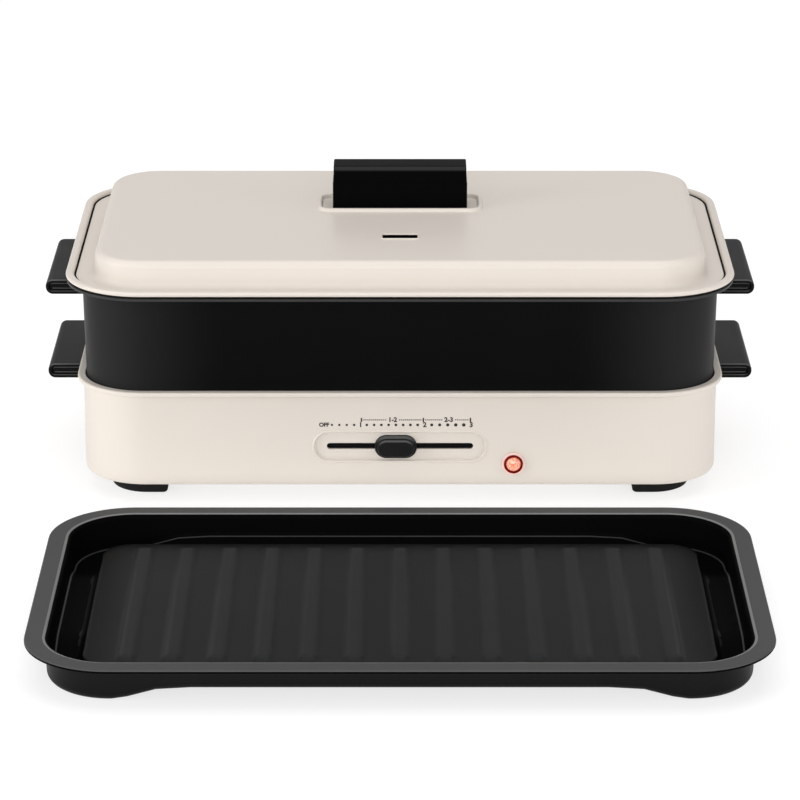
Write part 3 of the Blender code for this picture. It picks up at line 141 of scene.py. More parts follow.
def new_group(name, inputs, outputs):
    """A node group with its inputs, its output node and the coordinates in it."""
    group = bpy.data.node_groups.new(name, "ShaderNodeTree")
    for way, sockets in (("INPUT", inputs), ("OUTPUT", outputs)):
        for label, kind in sockets.items():
            group.interface.new_socket(label, in_out=way, socket_type="NodeSocket" + kind)
    into, out = group.nodes.new("NodeGroupInput"), group.nodes.new("NodeGroupOutput")
    return group, into.outputs, out, add_node(group, "TexCoord", {}).outputs


print("node helpers ready")

# %% [markdown]
# ## A shader group for fine grain
#
# Enamel, coating and plastic all have a fine grain and faint clouds of tone. One group
# makes both from Object coordinates, and each finish places it with its own scales. It
# gives out masks only.

# %% Build the grain group
GRAIN, into, out, place = new_group("fine_grain", {
    "Grain Scale": "Float", "Cloud Scale": "Float"}, {"Grain": "Float", "Cloud": "Float"})
for kind, detail in (("Grain", 2.0), ("Cloud", 3.0)):
    noise = add_node(GRAIN, "TexNoise", {
        "Vector": place["Object"], "Scale": into[kind + " Scale"], "Detail": detail,
        "Roughness": 0.55}, label=kind)
    fill(out, {kind: noise.outputs["Fac"]})
print("group", GRAIN.name, "with", len(GRAIN.nodes), "nodes")

# %% [markdown]
# ## Shader groups for painted light and painted edge highlights
#
# Two groups mix a lighter grey into a black colour, as painted light. In the first, the grey
# rises from a start to an end along each axis with the distance from the middle plane, so
# the painted light grows towards the ends. An end below nothing leaves that axis out. The
# second paints a highlight on the upper rounded edges at the front and the back: there the
# size of the normal's Y part times its Z part is high.

# %% Build the groups for painted light and painted edge highlights
EDGE_HIGHLIGHT_FROM, EDGE_HIGHLIGHT_TO = 0.16, 0.48


def product(tree, first, second):
    """Two values or links, multiplied."""
    return add_node(tree, "Math", {0: first, 1: second}, operation="MULTIPLY").outputs["Value"]


def smooth_rise(tree, value, start, end):
    """A mask that rises smoothly from 0 to 1 between a start and an end."""
    return add_node(tree, "MapRange", {"Value": value, "From Min": start, "From Max": end},
                    interpolation_type="SMOOTHSTEP").outputs["Result"]


PAINTED_LIGHT_BY_PLACE, into, out, place = new_group("painted_light_by_place", {
    "Color": "Color", "Grey": "Color", "Start": "Vector", "End": "Vector"}, {"Color": "Color"})
far = add_node(PAINTED_LIGHT_BY_PLACE, "VectorMath", {0: place["Object"]}, operation="ABSOLUTE")
spots, starts, ends = (add_node(PAINTED_LIGHT_BY_PLACE, "SeparateXYZ", {"Vector": source}).outputs
                       for source in (far.outputs["Vector"], into["Start"], into["End"]))
across, along, upward = (smooth_rise(PAINTED_LIGHT_BY_PLACE, spots[axis], starts[axis], ends[axis])
                         for axis in "XYZ")
mask = product(PAINTED_LIGHT_BY_PLACE, product(PAINTED_LIGHT_BY_PLACE, across, along), upward)
fill(out, {"Color": mix_colours(PAINTED_LIGHT_BY_PLACE, mask, into["Color"], into["Grey"])})

# A painted highlight: only rounded edges that face up, to the front or the back, get the grey.
UPPER_EDGE_HIGHLIGHT, into, out, place = new_group("painted_upper_edge_highlight", {"Color": "Color", "Grey": "Color"},
                                   {"Color": "Color"})
split = add_node(UPPER_EDGE_HIGHLIGHT, "SeparateXYZ", {"Vector": place["Normal"]}).outputs
sized = add_node(UPPER_EDGE_HIGHLIGHT, "Math", {0: split["Y"]}, operation="ABSOLUTE")
turning = product(UPPER_EDGE_HIGHLIGHT, sized.outputs["Value"], split["Z"])
mask = smooth_rise(UPPER_EDGE_HIGHLIGHT, turning, EDGE_HIGHLIGHT_FROM, EDGE_HIGHLIGHT_TO)
fill(out, {"Color": mix_colours(UPPER_EDGE_HIGHLIGHT, mask, into["Color"], into["Grey"])})
print("groups", PAINTED_LIGHT_BY_PLACE.name, "and", UPPER_EDGE_HIGHLIGHT.name, "ready")

# %% [markdown]
# ## A helper for finishes
#
# Most finishes are a colour that drifts a little between two tones, a roughness that
# drifts with it, and a bump from the grain. The helper takes these as arguments. One
# number as a tone is a grey.

# %% Define the finish helper
BUMP_DISTANCE = 0.0002
COAT_ROUGHNESS = 0.25


def colour(tone):
    """A colour with its alpha, from red, green and blue or from one grey."""
    return (*tone, 1) if isinstance(tone, tuple) else (tone, tone, tone, 1)


def shader_of(material):
    """The Principled shader of a material."""
    return material.node_tree.nodes["Principled BSDF"]


def grain_node(tree, scales):
    """The grain group, placed in a material with its own scales."""
    return add_node(tree, "Group", {"Grain Scale": scales[0], "Cloud Scale": scales[1]},
                    node_tree=GRAIN)


def finish_of(name, dark, light, rough, bump, scales, metal=0.0, specular=0.5, coat=0.0):
    """A Principled material with clouds of tone, of roughness, and a fine grain."""
    material = bpy.data.materials.new(name)
    material.use_nodes = True
    tree = material.node_tree
    grain = grain_node(tree, scales)
    drift = add_node(tree, "MapRange", {
        "Value": grain.outputs["Cloud"], "To Min": rough[0], "To Max": rough[1]})
    relief = add_node(tree, "Bump", {"Strength": bump, "Distance": BUMP_DISTANCE,
                                     "Height": grain.outputs["Grain"]})
    fill(shader_of(material), {
        "Base Color": mix_colours(tree, grain.outputs["Cloud"], colour(dark), colour(light)),
        "Metallic": metal, "Specular IOR Level": specular, "Coat Weight": coat,
        "Coat Roughness": COAT_ROUGHNESS, "Roughness": drift.outputs["Result"],
        "Normal": relief.outputs["Normal"]})
    return material


def grey_in(material, group, grey, **ranges):
    """Put a group that mixes a grey in before the material's base colour."""
    shader = shader_of(material)
    plain = shader.inputs["Base Color"].links[0].from_socket
    place = add_node(material.node_tree, "Group",
                     {"Color": plain, "Grey": colour(grey), **ranges}, node_tree=group)
    fill(shader, {"Base Color": place.outputs["Color"]})
    return material


print("helpers ready")

# %% [markdown]
# ## The finishes
#
# Base and lid are sprayed with a silky, warm cream enamel. Inside there are bare steel,
# ceramic, brass, woven sleeves and black mouldings. The feet are rubber, and the pilot
# lamp has a pink flange and a dark red ring.

# %% Mix the finishes
CREAM = finish_of("cream_enamel", (0.655, 0.598, 0.54), (0.675, 0.618, 0.56), (0.36, 0.46),
                  0.12, (900, 14), specular=0.34, coat=0.04)
PLASTIC = finish_of("black_plastic", (0.0014, 0.0014, 0.0015), (0.0022, 0.0022, 0.0023),
                    (0.34, 0.42), 0.25, (1800, 40), specular=0.1)
RUBBER = finish_of("black_rubber", 0.005, 0.008, (0.6, 0.72), 0.35, (1500, 60), specular=0.16)
STEEL = finish_of("bare_steel", (0.5, 0.5, 0.49), (0.6, 0.6, 0.59), (0.28, 0.4), 0.15,
                  (700, 25), metal=1.0)
ELEMENT = finish_of("element_steel", (0.2, 0.19, 0.18), (0.33, 0.31, 0.29), (0.4, 0.55),
                    0.2, (900, 60), metal=1.0)
CERAMIC = finish_of("ceramic", (0.76, 0.73, 0.66), (0.84, 0.81, 0.75), (0.45, 0.6), 0.3,
                    (1200, 80))
BRASS = finish_of("brass", (0.62, 0.44, 0.18), (0.76, 0.56, 0.26), (0.25, 0.38), 0.12,
                  (900, 60), metal=1.0)
SLEEVE = finish_of("lead_sleeve", (0.62, 0.61, 0.57), (0.78, 0.77, 0.73), (0.6, 0.75), 0.6,
                   (2200, 120))
RING_RED = finish_of("lamp_ring_red", (0.09, 0.001, 0.001), (0.2, 0.003, 0.002),
                     (0.36, 0.44), 0.05, (600, 500), specular=0.04)
FLANGE_PINK = finish_of("lamp_flange_pink", (0.82, 0.54, 0.47), (0.9, 0.64, 0.57),
                        (0.28, 0.36), 0.05, (600, 60), coat=0.3)
print("finishes:", len(bpy.data.materials))

# %% [markdown]
# ## The finishes of the pans
#
# Pot and griddle have a black non-stick coating. The pot fades to grey towards its two
# ends, a painted reflection of the side lights on its rounded corners. The plateau of the
# griddle is grey, fades at its ends and at the back, and is lightest on the crests of its
# ribs: painted light on the raised floor. The flat rim is a finish of its own. Its bright
# inner edge and the ledge are painted highlights, and the dull black inside is painted
# shade.

# %% Mix the finishes of the pans
COATING_SCALES = (1400, 30)


def coating(name, specular):
    """The black non-stick coating with a shine of its own."""
    return finish_of(name, (0.0018, 0.0018, 0.0019), (0.0026, 0.0026, 0.0027), (0.4, 0.48),
                     0.2, COATING_SCALES, specular=specular)


COATING = coating("black_coating", 0.12)
# The grey towards the ends is a painted reflection of the side lights.
POT_BLACK = grey_in(coating("pot_coating", 0.05), PAINTED_LIGHT_BY_PLACE, 0.0215,
                    Start=(0.1, -2, -2), End=(0.205, -1, -1))
GRIDDLE_FLOOR = coating("griddle_floor", 0.06)
# Painted light: a lighter plateau and the lightest rib crests, fading at the ends and the back.
for grey, low, high in (((0.0168, 0.0174, 0.0184), 0.0103, 0.0119),
                        ((0.0222, 0.0229, 0.024), 0.0127, 0.0136)):
    grey_in(GRIDDLE_FLOOR, PAINTED_LIGHT_BY_PLACE, grey, Start=(0.176, 0.056, low), End=(0.142, 0.076, high))
RIM_GREY, INNER_EDGE_HIGHLIGHT, LEDGE_HIGHLIGHT, SHADOW_BLACK = (
    finish_of(name, dark, light, rough, bump, COATING_SCALES, specular=specular)
    for name, dark, light, rough, bump, specular in (
        ("rubbed_rim", 0.062, 0.072, (0.4, 0.48), 0.2, 0.06),
        # A painted highlight on the rim's inner edge.
        ("painted_inner_edge_highlight", 0.15, 0.19, (0.3, 0.38), 0.05, 0.3),
        # A painted highlight on the ledge and on the pot's flange edge.
        ("painted_ledge_highlight", 0.03, 0.042, (0.36, 0.44), 0.05, 0.1),
        # Painted shade: a black with almost no shine, for the griddle's inside, the lid's
        # crease and the steam slot.
        ("dull_painted_shade_coating", (0.0016, 0.0016, 0.0017), (0.0024, 0.0024, 0.0025),
         (0.46, 0.54), 0.2, 0.008)))
print("finishes of the pans ready")

# %% [markdown]
# ## The finishes of handles and knob
#
# Handles and knob are a deep dull black, with a painted highlight, a little lighter, on the
# upper rounded edges to the front and the back. Each places the group for painted edge
# highlights with its own grey.

# %% Mix the finishes of handles and knob
def plastic_with_edge_highlight(name, black, grey, specular):
    """A dull black plastic with a painted highlight where the surface turns over an upper edge.
    """
    plain = finish_of(name, black, black * 1.4, (0.38, 0.46), 0.25, (1800, 40),
                      specular=specular)
    return grey_in(plain, UPPER_EDGE_HIGHLIGHT, grey)


HANDLE_BLACK = plastic_with_edge_highlight("handle_plastic", 0.0014, 0.026, 0.013)
SIDE_BLACK = plastic_with_edge_highlight("side_plastic", 0.0016, 0.11, 0.08)
KNOB_BLACK = plastic_with_edge_highlight("knob_plastic", 0.0052, 0.085, 0.12)
print("finishes of handles and knob ready")

# %% [markdown]
# ## The lamp's lens
#
# The lens is clear orange plastic with a neon lamp behind it. A spotted mask from the
# grain group mixes its two tones: the light spots are painted glints, the sparkle of a
# faceted lens. The same colour goes into a small emission for the lamp behind, so the
# glints glow too.

# %% Mix the lens
LENS = finish_of("lamp_lens_orange", (0.7, 0.12, 0.06), (0.9, 0.5, 0.34), (0.1, 0.18),
                 0.1, (500, 420), specular=0.7, coat=0.6)
lens_grain = grain_node(LENS.node_tree, (1300, 420))
painted_glint_mask = add_node(LENS.node_tree, "MapRange", {
    "Value": lens_grain.outputs["Grain"], "From Min": 0.4, "From Max": 0.62})
glow = shader_of(LENS)
warm = glow.inputs["Base Color"].links[0].from_node
fill(warm, {"Factor": painted_glint_mask.outputs["Result"]})
fill(glow, {"Emission Color": warm.outputs["Result"], "Emission Strength": 0.3})
print("lens glows at", glow.inputs["Emission Strength"].default_value)

# %% [markdown]
# ## Turning a form into a piece
#
# Every new piece goes the same way: its mesh is smoothed with sharp edges kept, it gets
# its finish, rides on a body of the frame and stands for the node that it replaces. A
# Weighted Normal modifier keeps the large flat faces flat in the shading.

# %% Define the piece helper
def mesh_of(name, form, finishes):
    """Turn a form into a mesh with its finishes."""
    mesh = bpy.data.meshes.new(name)
    form.to_mesh(mesh)
    form.free()
    for finish in finishes:
        mesh.materials.append(finish)
    return mesh


def piece_from(name, form, finish, body, node=None, more=(), sharp=40):
    """Make the piece's object from a form and tie it to the frame."""
    bmesh.ops.recalc_face_normals(form, faces=form.faces)
    mesh = mesh_of(name, form, (finish, *more))
    mesh.shade_smooth()
    mesh.set_sharp_from_angle(angle=math.radians(sharp))
    piece = add_object(name, mesh)
    piece.modifiers.new("flat_faces", "WEIGHTED_NORMAL").keep_sharp = True
    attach(piece, body)
    if node:
        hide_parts(node)
    print(name, len(mesh.polygons), "faces")


print("piece helper ready")

# %% [markdown]
# ## Small tools for forms
#
# The pieces are modelled with the operators of bmesh. These helpers hold the settings
# that never change: a bevel is always round, and an extrusion is moved at once.

# %% Define the form helpers
TINY = 0.00001


def each_once(items):
    """The items in their order, each of them once."""
    return list(dict.fromkeys(items))


def move(form, shift, points=None):
    """Move some points of a form, or else all of it."""
    bmesh.ops.translate(form, vec=shift, verts=form.verts if points is None else points)


def round_off(form, parts, offset, segments, affect="VERTICES"):
    """Bevel corners, or edges, to a round."""
    bmesh.ops.bevel(form, geom=parts, offset=offset, offset_type="OFFSET", segments=segments,
                    profile=0.5, affect=affect, material=-1)


def points_in(made):
    """The points among what an operator made."""
    return [item for item in made if isinstance(item, bmesh.types.BMVert)]


def ends_of(edges):
    """The points at the ends of some edges."""
    return each_once(point for edge in edges for point in edge.verts)


def move_on(form, wire, shift):
    """Extrude the wire by a shift and return the new wire."""
    made = bmesh.ops.extrude_edge_only(form, edges=wire)["geom"]
    points = points_in(made)
    move(form, shift, points)
    return [item for item in made if isinstance(item, bmesh.types.BMEdge)
            and item.verts[0] in points and item.verts[1] in points]


def circle_edges(form, radius, height=0):
    """The edges of a new level circle."""
    points = bmesh.ops.create_circle(form, cap_ends=False, segments=32, radius=radius,
                                     matrix=Matrix.Translation((0, 0, height)))["verts"]
    return each_once(edge for point in points for edge in point.link_edges)


def push_out(form, faces, shift):
    """Extrude faces by a shift."""
    move(form, shift, points_in(bmesh.ops.extrude_face_region(form, geom=faces)["geom"]))


def open_edges(form):
    """The edges with a face on one side only."""
    return [edge for edge in form.edges if edge.is_boundary]


def close_holes(form):
    """Close each open outline by one face."""
    bmesh.ops.holes_fill(form, edges=open_edges(form), sides=0)


print("lengths under", TINY, "count as nothing")

# %% [markdown]
# ## Profiles and runs
#
# Lid, base, pot and griddle are rounded boxes with the same section all round. A wire of
# the section is drawn first and its corners are rounded by a vertex bevel. The wire is
# then extruded along each side and spun round each corner. The steps along a side are
# finer near the corners, where the pans sink.

# %% Define the run round a rounded box
SIDE_STEPS = (0.004, 0.03, 0.08, 0.14, 0.2, 0.28, 0.4, 0.6, 0.72, 0.8, 0.86, 0.92, 0.97,
              0.996, 1.0)
CORNER_STEPS = 18
CORNERS = ((1, -1), (1, 1), (-1, 1), (-1, -1))


def draw_wire(section, segments, closed=False):
    """A wire of (reach, height, rounding) corners at X = 0, with the reach towards -Y."""
    form = bmesh.new()
    points = [form.verts.new((0, -reach, height)) for reach, height, _ in section]
    for first, second in zip(points, points[1:] + points[:1] if closed else points[1:]):
        form.edges.new((first, second))
    for point, (_, _, rounding) in zip(points, section):
        if rounding:
            round_off(form, [point], rounding, segments)
    return form


def run_round(section, half_x, half_y, turn, closed=False):
    """Carry a section once round a rounded box whose wall is at half_x and half_y."""
    form = draw_wire(section, 6, closed)
    wire = list(form.edges)
    move(form, (turn - half_x, -half_y, 0))
    for quarter, (sign_x, sign_y) in enumerate(CORNERS):
        heading = Matrix.Rotation(quarter * math.pi / 2, 3, "Z") @ Vector((1, 0, 0))
        length = 2 * ((half_x, half_y)[quarter % 2] - turn)
        done = 0
        for share in SIDE_STEPS:
            wire = move_on(form, wire, heading * length * (share - done))
            done = share
        spun = bmesh.ops.spin(
            form, geom=wire + ends_of(wire), axis=(0, 0, 1), angle=math.pi / 2,
            cent=(sign_x * (half_x - turn), sign_y * (half_y - turn), 0),
            steps=CORNER_STEPS, use_merge=False)["geom_last"]
        wire = [item for item in spun if isinstance(item, bmesh.types.BMEdge)]
    bmesh.ops.remove_doubles(form, verts=form.verts, dist=TINY)
    return form


print("a side is made in", len(SIDE_STEPS), "steps")

# %% [markdown]
# ## Rounded faces, steps and openings
#
# Panels, knobs and slots start from a rounded rectangle, a one-face grid whose corners
# are bevelled. Insets with a depth then make steps on it. A flat sheet is filled between
# its outline and its openings.

# %% Define the face helpers
LEAST_INSET = 0.000001


def rectangle(form, length, depth):
    """The corners of a new face of this size, round the origin."""
    corners = bmesh.ops.create_grid(form, x_segments=1, y_segments=1, size=0.5)["verts"]
    bmesh.ops.scale(form, vec=(length, depth, 1), verts=corners)
    return corners


def rounded_face(form, length, depth, turn, place, steps=12):
    """A rounded rectangle as one face, put in place by a matrix."""
    before = set(form.faces)
    round_off(form, rectangle(form, length, depth), turn, steps)
    face = next(item for item in form.faces if item not in before)
    bmesh.ops.transform(form, matrix=place, verts=face.verts)
    return face


def step_in(form, face, steps):
    """Rings inside a face, each (inset, rise) in millimetres. Returns the open outline."""
    others = set(form.edges) - set(face.edges)
    for inset, rise in steps:
        bmesh.ops.inset_individual(form, faces=[face], use_even_offset=True, depth=rise / 1000,
                                   thickness=max(inset / 1000, LEAST_INSET))
    return [edge for edge in open_edges(form) if edge not in others]


def open_face(form, face):
    """Remove a face but keep its edges, and return them."""
    edges = list(face.edges)
    bmesh.ops.delete(form, geom=[face], context="FACES_ONLY")
    return edges


def outline_of(form, *shape):
    """The edges of a rounded rectangle, without its face."""
    return open_face(form, rounded_face(form, *shape))


def join_loops(form, *loops):
    """Bridge each loop of edges to the next."""
    for first, second in zip(loops, loops[1:]):
        bmesh.ops.bridge_loops(form, edges=first + second)


def edges_at(form, height):
    """The open edges that lie at one height."""
    return [edge for edge in open_edges(form)
            if sum(abs(point.co.z - height) for point in edge.verts) < 2 * TINY]


def sheet_between(form, outline, openings, normal):
    """Fill a flat sheet between its outline and its openings."""
    edges = [*outline, *(edge for opening in openings for edge in opening)]
    bmesh.ops.triangle_fill(form, edges=edges, use_beauty=True, use_dissolve=False,
                            normal=normal)


print("face helpers ready")

# %% [markdown]
# ## The lid
#
# The lid is pressed from sheet. From the outside in, it has a rolled bead, a flat flange,
# a tight cove and a low dome with a soft edge. A raised ring on the dome frames the pocket
# of the handle, and a slot in front of it lets the steam out. The section runs from the
# ceiling inside, over the skirt and the bead, to the top of the dome.

# %% Model the lid
lid_low, lid_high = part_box("lid_shell")
LID_PLACE = stack + Vector((0, 0, lid_low.z + 0.004))
LID_SIZE = (lid_high.x, half_depth_of("lid_shell"), 0.0475)
CEILING, CREST = 0.016, 0.0174
HANDLE_Y, SLOT_Y = 0.022, -0.05
SLOT_SIZE = (0.0212, 0.009, 0.0013)


def flat_at(y, z):
    """A matrix that puts a level face on the middle plane."""
    return Matrix.Translation((0, y, z))


lid = run_round([
    (-0.0245, CEILING, 0), (-0.0189, CEILING, 0.0038), (-0.0189, 0, 0), (-0.0146, 0, 0),
    (-0.0146, -0.004, 0), (-0.0132, -0.004, 0), (-0.0132, 0, 0), (-0.0046, 0, 0),
    (-0.0036, 0.0009, 0.0004), (0, 0.0009, 0.0012), (0, 0.0037, 0.0013),
    (-0.0046, 0.0037, 0.0013), (-0.0052, 0.0014, 0.0003), (-0.017, 0.0014, 0.0034),
    (-0.0178, CREST, 0.0044), (-0.0245, CREST, 0)], *LID_SIZE)
ring = rounded_face(lid, 0.104, 0.038, 0.0092, flat_at(HANDLE_Y, CREST))
ring_edges = step_in(lid, ring, [
    (0.3, 0.2), (0.3, 0.6), (0.2, 0.6), (0.3, 0.4), (0.5, 0.2), (0.9, 0), (0.5, -0.2),
    (0.3, -0.4), (0.2, -1.0), (0.2, -0.8), (0.4, -0.3), (0.8, -0.2)])
bump = rounded_face(lid, 0.098, 0.032, 0.0068, flat_at(HANDLE_Y, CEILING))
bmesh.ops.reverse_faces(lid, faces=[bump])
bump_edges = step_in(lid, bump, [(0.4, 0.4), (0.4, 0.7), (0.8, 0.4)])
print("bead, dome and pocket", len(lid.faces), "faces")

# %% [markdown]
# The steam slot has a raised lip on the dome. Its last ring is bridged to a loop in the
# ceiling, and the two flat sheets of the dome are filled round the openings.

# %% Open the slot and finish the lid
lip = rounded_face(lid, 0.023, 0.0108, 0.0022, flat_at(SLOT_Y, CREST), 5)
lip_edges = step_in(lid, lip, [(0.3, 0.45), (0.2, 0.1), (0.2, -0.1), (0.2, -0.55)])
slot_top = open_face(lid, lip)
slot_low = outline_of(lid, *SLOT_SIZE, flat_at(SLOT_Y, CEILING), 5)
join_loops(lid, slot_top, slot_low)
for height, openings, normal_z in ((CREST, (ring_edges, lip_edges), 1),
                                   (CEILING, (bump_edges, slot_low), -1)):
    outline = [edge for edge in edges_at(lid, height)
               if not any(edge in opening for opening in openings)]
    sheet_between(lid, outline, openings, (0, 0, normal_z))
move(lid, LID_PLACE)
piece_from("lid", lid, CREAM, "lid", "lid_shell")

# %% [markdown]
# ## The painted crease shadow and the liner
#
# A thin dark strip lies where the bead meets the flange, a painted shadow in the crease at
# the foot of the bead. It is a narrow strip, run round there. A short black sleeve lines
# the steam slot, bridged from an outer and an inner loop at its top and its foot. Its black
# also stands in for the shade inside the slot.

# %% Model the crease shadow and the liner
form = run_round([(-0.0047, 0.0012, 0), (-0.0047, 0.0018, 0), (-0.0062, 0.0018, 0),
                  (-0.0062, 0.0012, 0)], *LID_SIZE, closed=True)
move(form, LID_PLACE)
piece_from("lid_crease_shadow", form, SHADOW_BLACK, "lid")

# The sleeve is a real liner, and its black also stands in for the shade inside the slot.
form = bmesh.new()
length, width, turn = SLOT_SIZE
loops = [outline_of(form, length - 2 * inset, width - 2 * inset, turn - inset * 0.5,
                    flat_at(0, height), 5)
         for inset, height in zip((0.00003, 0.00003, 0.0004, 0.0004),
                                  (0.0172, 0.0128, 0.0128, 0.0172))]
join_loops(form, *loops, loops[0])
move(form, LID_PLACE + Vector((0, SLOT_Y, 0)))
piece_from("steam_liner", form, SHADOW_BLACK, "lid")

# %% [markdown]
# ## The lid's handle
#
# The handle is an upright block of black plastic. A cap with a rounded top sits on a core
# that is a hair wider and stands in the pocket. Each is a rounded face, extruded along X,
# and its bevelled rims catch the light.

# %% Model the handle of the lid
def bar_along_x(across, upward, half_length, edge, rounding=0, corners=()):
    """A bar along X with a section from a range of Y and one of Z, and bevelled ends."""
    (near, far), (low, high) = across, upward
    form = bmesh.new()
    points = [form.verts.new((-half_length, y, z))
              for y, z in ((near, low), (far, low), (far, high), (near, high))]
    form.faces.new(points)
    for index in corners:
        round_off(form, [points[index]], rounding, 10)
    push_out(form, form.faces[:], (2 * half_length, 0, 0))
    ends = [item for item in form.edges if abs(item.verts[0].co.x - item.verts[1].co.x) < TINY]
    round_off(form, ends, edge, 3, "EDGES")
    return form


cap_low, cap_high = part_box("lid_handle_cap")
core_low, core_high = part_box("lid_handle_core")
depths = (-half_depth_of("lid_handle_cap"), half_depth_of("lid_handle_cap"))
handle_parts = {
    "cap": bar_along_x(depths, (cap_low.z, cap_high.z), cap_high.x, 0.0007, 0.0034, (2, 3)),
    "core": bar_along_x(depths, (core_low.z, cap_low.z - 0.0001), core_high.x, 0.0006)}
for part, form in handle_parts.items():
    move(form, stack + Vector((0, HANDLE_Y, 0)))
    piece_from("handle_" + part, form, HANDLE_BLACK, "lid",
               "lid_handle_" + part)

# %% [markdown]
# ## Sizes and corner feet of the pans
#
# Pot and griddle have the same outline, which fits inside the base's wall. Their floor
# sinks at each corner to a low foot and fades back to level along the sides. A pan is run
# round with a level floor first. Then its lower points are moved down, by a weight that
# is full at the corners and fades along each side and towards the middle.

# %% Define the sinking of corners
base_low, base_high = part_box("base_shell")
LIP = 0.0035
VESSEL_GAP = 0.002
BASE_X, BASE_Y = base_high.x - LIP, half_depth_of("base_shell") - LIP
VESSEL_X, VESSEL_Y, VESSEL_TURN = BASE_X - VESSEL_GAP, BASE_Y - VESSEL_GAP, 0.0365
FOOT_DROP = 0.0065
FADE_LENGTH = 0.033


def ease(share):
    """A smooth step from 0 to 1."""
    share = min(max(share, 0), 1)
    return share * share * (3 - 2 * share)


def sink_corners(form, heights, inner):
    """Move points down near the corners, by their height and their place."""
    full, level = heights
    for point in form.verts:
        past_x = abs(point.co.x) - (VESSEL_X - VESSEL_TURN)
        past_y = abs(point.co.y) - (VESSEL_Y - VESSEL_TURN)
        along = (ease(1 - max(-past_x, 0) / FADE_LENGTH)
                 * ease(1 - max(-past_y, 0) / FADE_LENGTH))
        inward = VESSEL_TURN - math.hypot(max(past_x, 0), max(past_y, 0))
        across = ease(1 - (inward - inner[0]) / (inner[1] - inner[0]))
        upright = ease((level - point.co.z) / (level - full))
        point.co.z -= FOOT_DROP * along * across * upright


print("vessel", VESSEL_X, VESSEL_Y)

# %% [markdown]
# ## The pot
#
# The pot is a deep cast pan with a thin flange that carries the lid. Its section starts
# under the floor and goes up the wall, round the flange and down inside. Each floor is
# closed by one face. The flange's outer edge gets a painted highlight, a lighter grey.

# %% Cast the pot
FLOOR_REACH = -0.0355


def cast_pan(section):
    """Run a section round the outline of the pans and close both floors."""
    form = run_round(section, VESSEL_X, VESSEL_Y, VESSEL_TURN)
    close_holes(form)
    return form


def reach_from(x, y, half_x, half_y, turn):
    """How far a spot lies outside a rounded rectangle."""
    past_x, past_y = abs(x) - (half_x - turn), abs(y) - (half_y - turn)
    past = max(past_x, past_y) if min(past_x, past_y) < 0 else math.hypot(past_x, past_y)
    return past - turn


def place_of(face):
    """The height of a face, and its reach outside the wall line of the pans."""
    x, y, z = face.calc_center_median()
    return z, reach_from(x, y, VESSEL_X, VESSEL_Y, VESSEL_TURN)


pot_low, pot_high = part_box("pot_vessel")
POT_FLOOR, POT_INSIDE = pot_low.z + FOOT_DROP, pot_low.z + FOOT_DROP + 0.003
POT_LEDGE, POT_TOP = pot_high.z - 0.0018, pot_high.z
form = cast_pan([
    (FLOOR_REACH, POT_FLOOR, 0), (-0.0003, POT_FLOOR, 0.0088), (0.0012, POT_LEDGE, 0.0006),
    (0.0104, POT_LEDGE, 0.0005), (0.0104, POT_TOP, 0.0006), (-0.0012, POT_TOP, 0.0012),
    (-0.0027, POT_INSIDE, 0.0068), (FLOOR_REACH, POT_INSIDE, 0)])
for face in form.faces:
    height, reach = place_of(face)
    face.material_index = int(POT_LEDGE - 0.0001 < height < POT_TOP - 0.0001
                              and reach > 0.009)
sink_corners(form, (POT_FLOOR + 0.01, POT_FLOOR + 0.022), (0.021, 0.0352))
move(form, stack)
piece_from("pot", form, POT_BLACK, "pot", "pot_vessel", (LEDGE_HIGHLIGHT,))

# %% [markdown]
# ## The griddle
#
# The griddle is one casting with a wide flat rim, a short sloping wall, a gutter for the
# fat and a plateau. The gutter goes down with the corners, the plateau stays level. A
# face gets its finish by its height and by how far out it lies.

# %% Cast the griddle
PLATEAU, GUTTER = 0.0119, 0.0095
LEDGE = GUTTER + 0.0008
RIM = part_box("griddle_plate")[1].z
RIM_UNDER = RIM - 0.0024
GRIDDLE_SINK = ((0.0126, 0.02), (0.0165, 0.02))


def finish_index(height, reach):
    """0 coating, 1 flat rim, 2 painted highlight on the inner edge, 3 painted highlight on the
    ledge, 4 painted shade inside.
    """
    if reach > 0.0009 and height > RIM - 0.0012:
        return 1
    if reach < 0.0013 and height > RIM - 0.0004:
        return 2
    if -0.0045 < reach < -0.0028 and GUTTER + 0.0005 < height < GUTTER + 0.001:
        return 3
    # The inside of the casting gets the painted shade.
    inside = reach < -0.0013 and height > GUTTER - 0.0001
    return 4 if inside or height > RIM - 0.0022 else 0


form = cast_pan([
    (FLOOR_REACH, FOOT_DROP, 0), (-0.001, FOOT_DROP, 0.0048), (0, RIM_UNDER, 0.0005),
    (0.011, RIM_UNDER, 0.0008), (0.011, RIM, 0.0009), (-0.0016, RIM, 0.0028),
    (-0.0029, LEDGE, 0.0022), (-0.0044, LEDGE, 0.0006), (-0.0064, GUTTER, 0.002),
    (-0.0172, GUTTER, 0.001), (-0.0196, PLATEAU, 0.001), (-0.021, PLATEAU, 0)])
for face in form.faces:
    face.material_index = finish_index(*place_of(face))
sink_corners(form, *GRIDDLE_SINK)
move(form, table)
piece_from("griddle", form, COATING, "griddle", "griddle_plate",
           (RIM_GREY, INNER_EDGE_HIGHLIGHT, LEDGE_HIGHLIGHT, SHADOW_BLACK))

# %% [markdown]
# ## The ribs of the griddle
#
# Plateau and ribs are low and soft. A fine grid is raised by smooth functions: the plateau
# by the distance from its rounded outline, and each rib by the distance from its own edge.
# The border of the grid goes down with the corners and hides in the casting.

# %% Raise the plateau and the ribs
RIB_COUNT = 13
RIB_PITCH = 0.0244
RIB_HEIGHT = 0.0017
RIB_HALF = (0.0066, 0.0842)
RIB_FLANK = (0.0046, 0.006)
TABLE_X, TABLE_Y, TABLE_TURN = 0.1742, 0.0937, 0.0207
TABLE_FLANK = 0.0052
TABLE_SKIN = 0.0006
BORDER = 0.0003


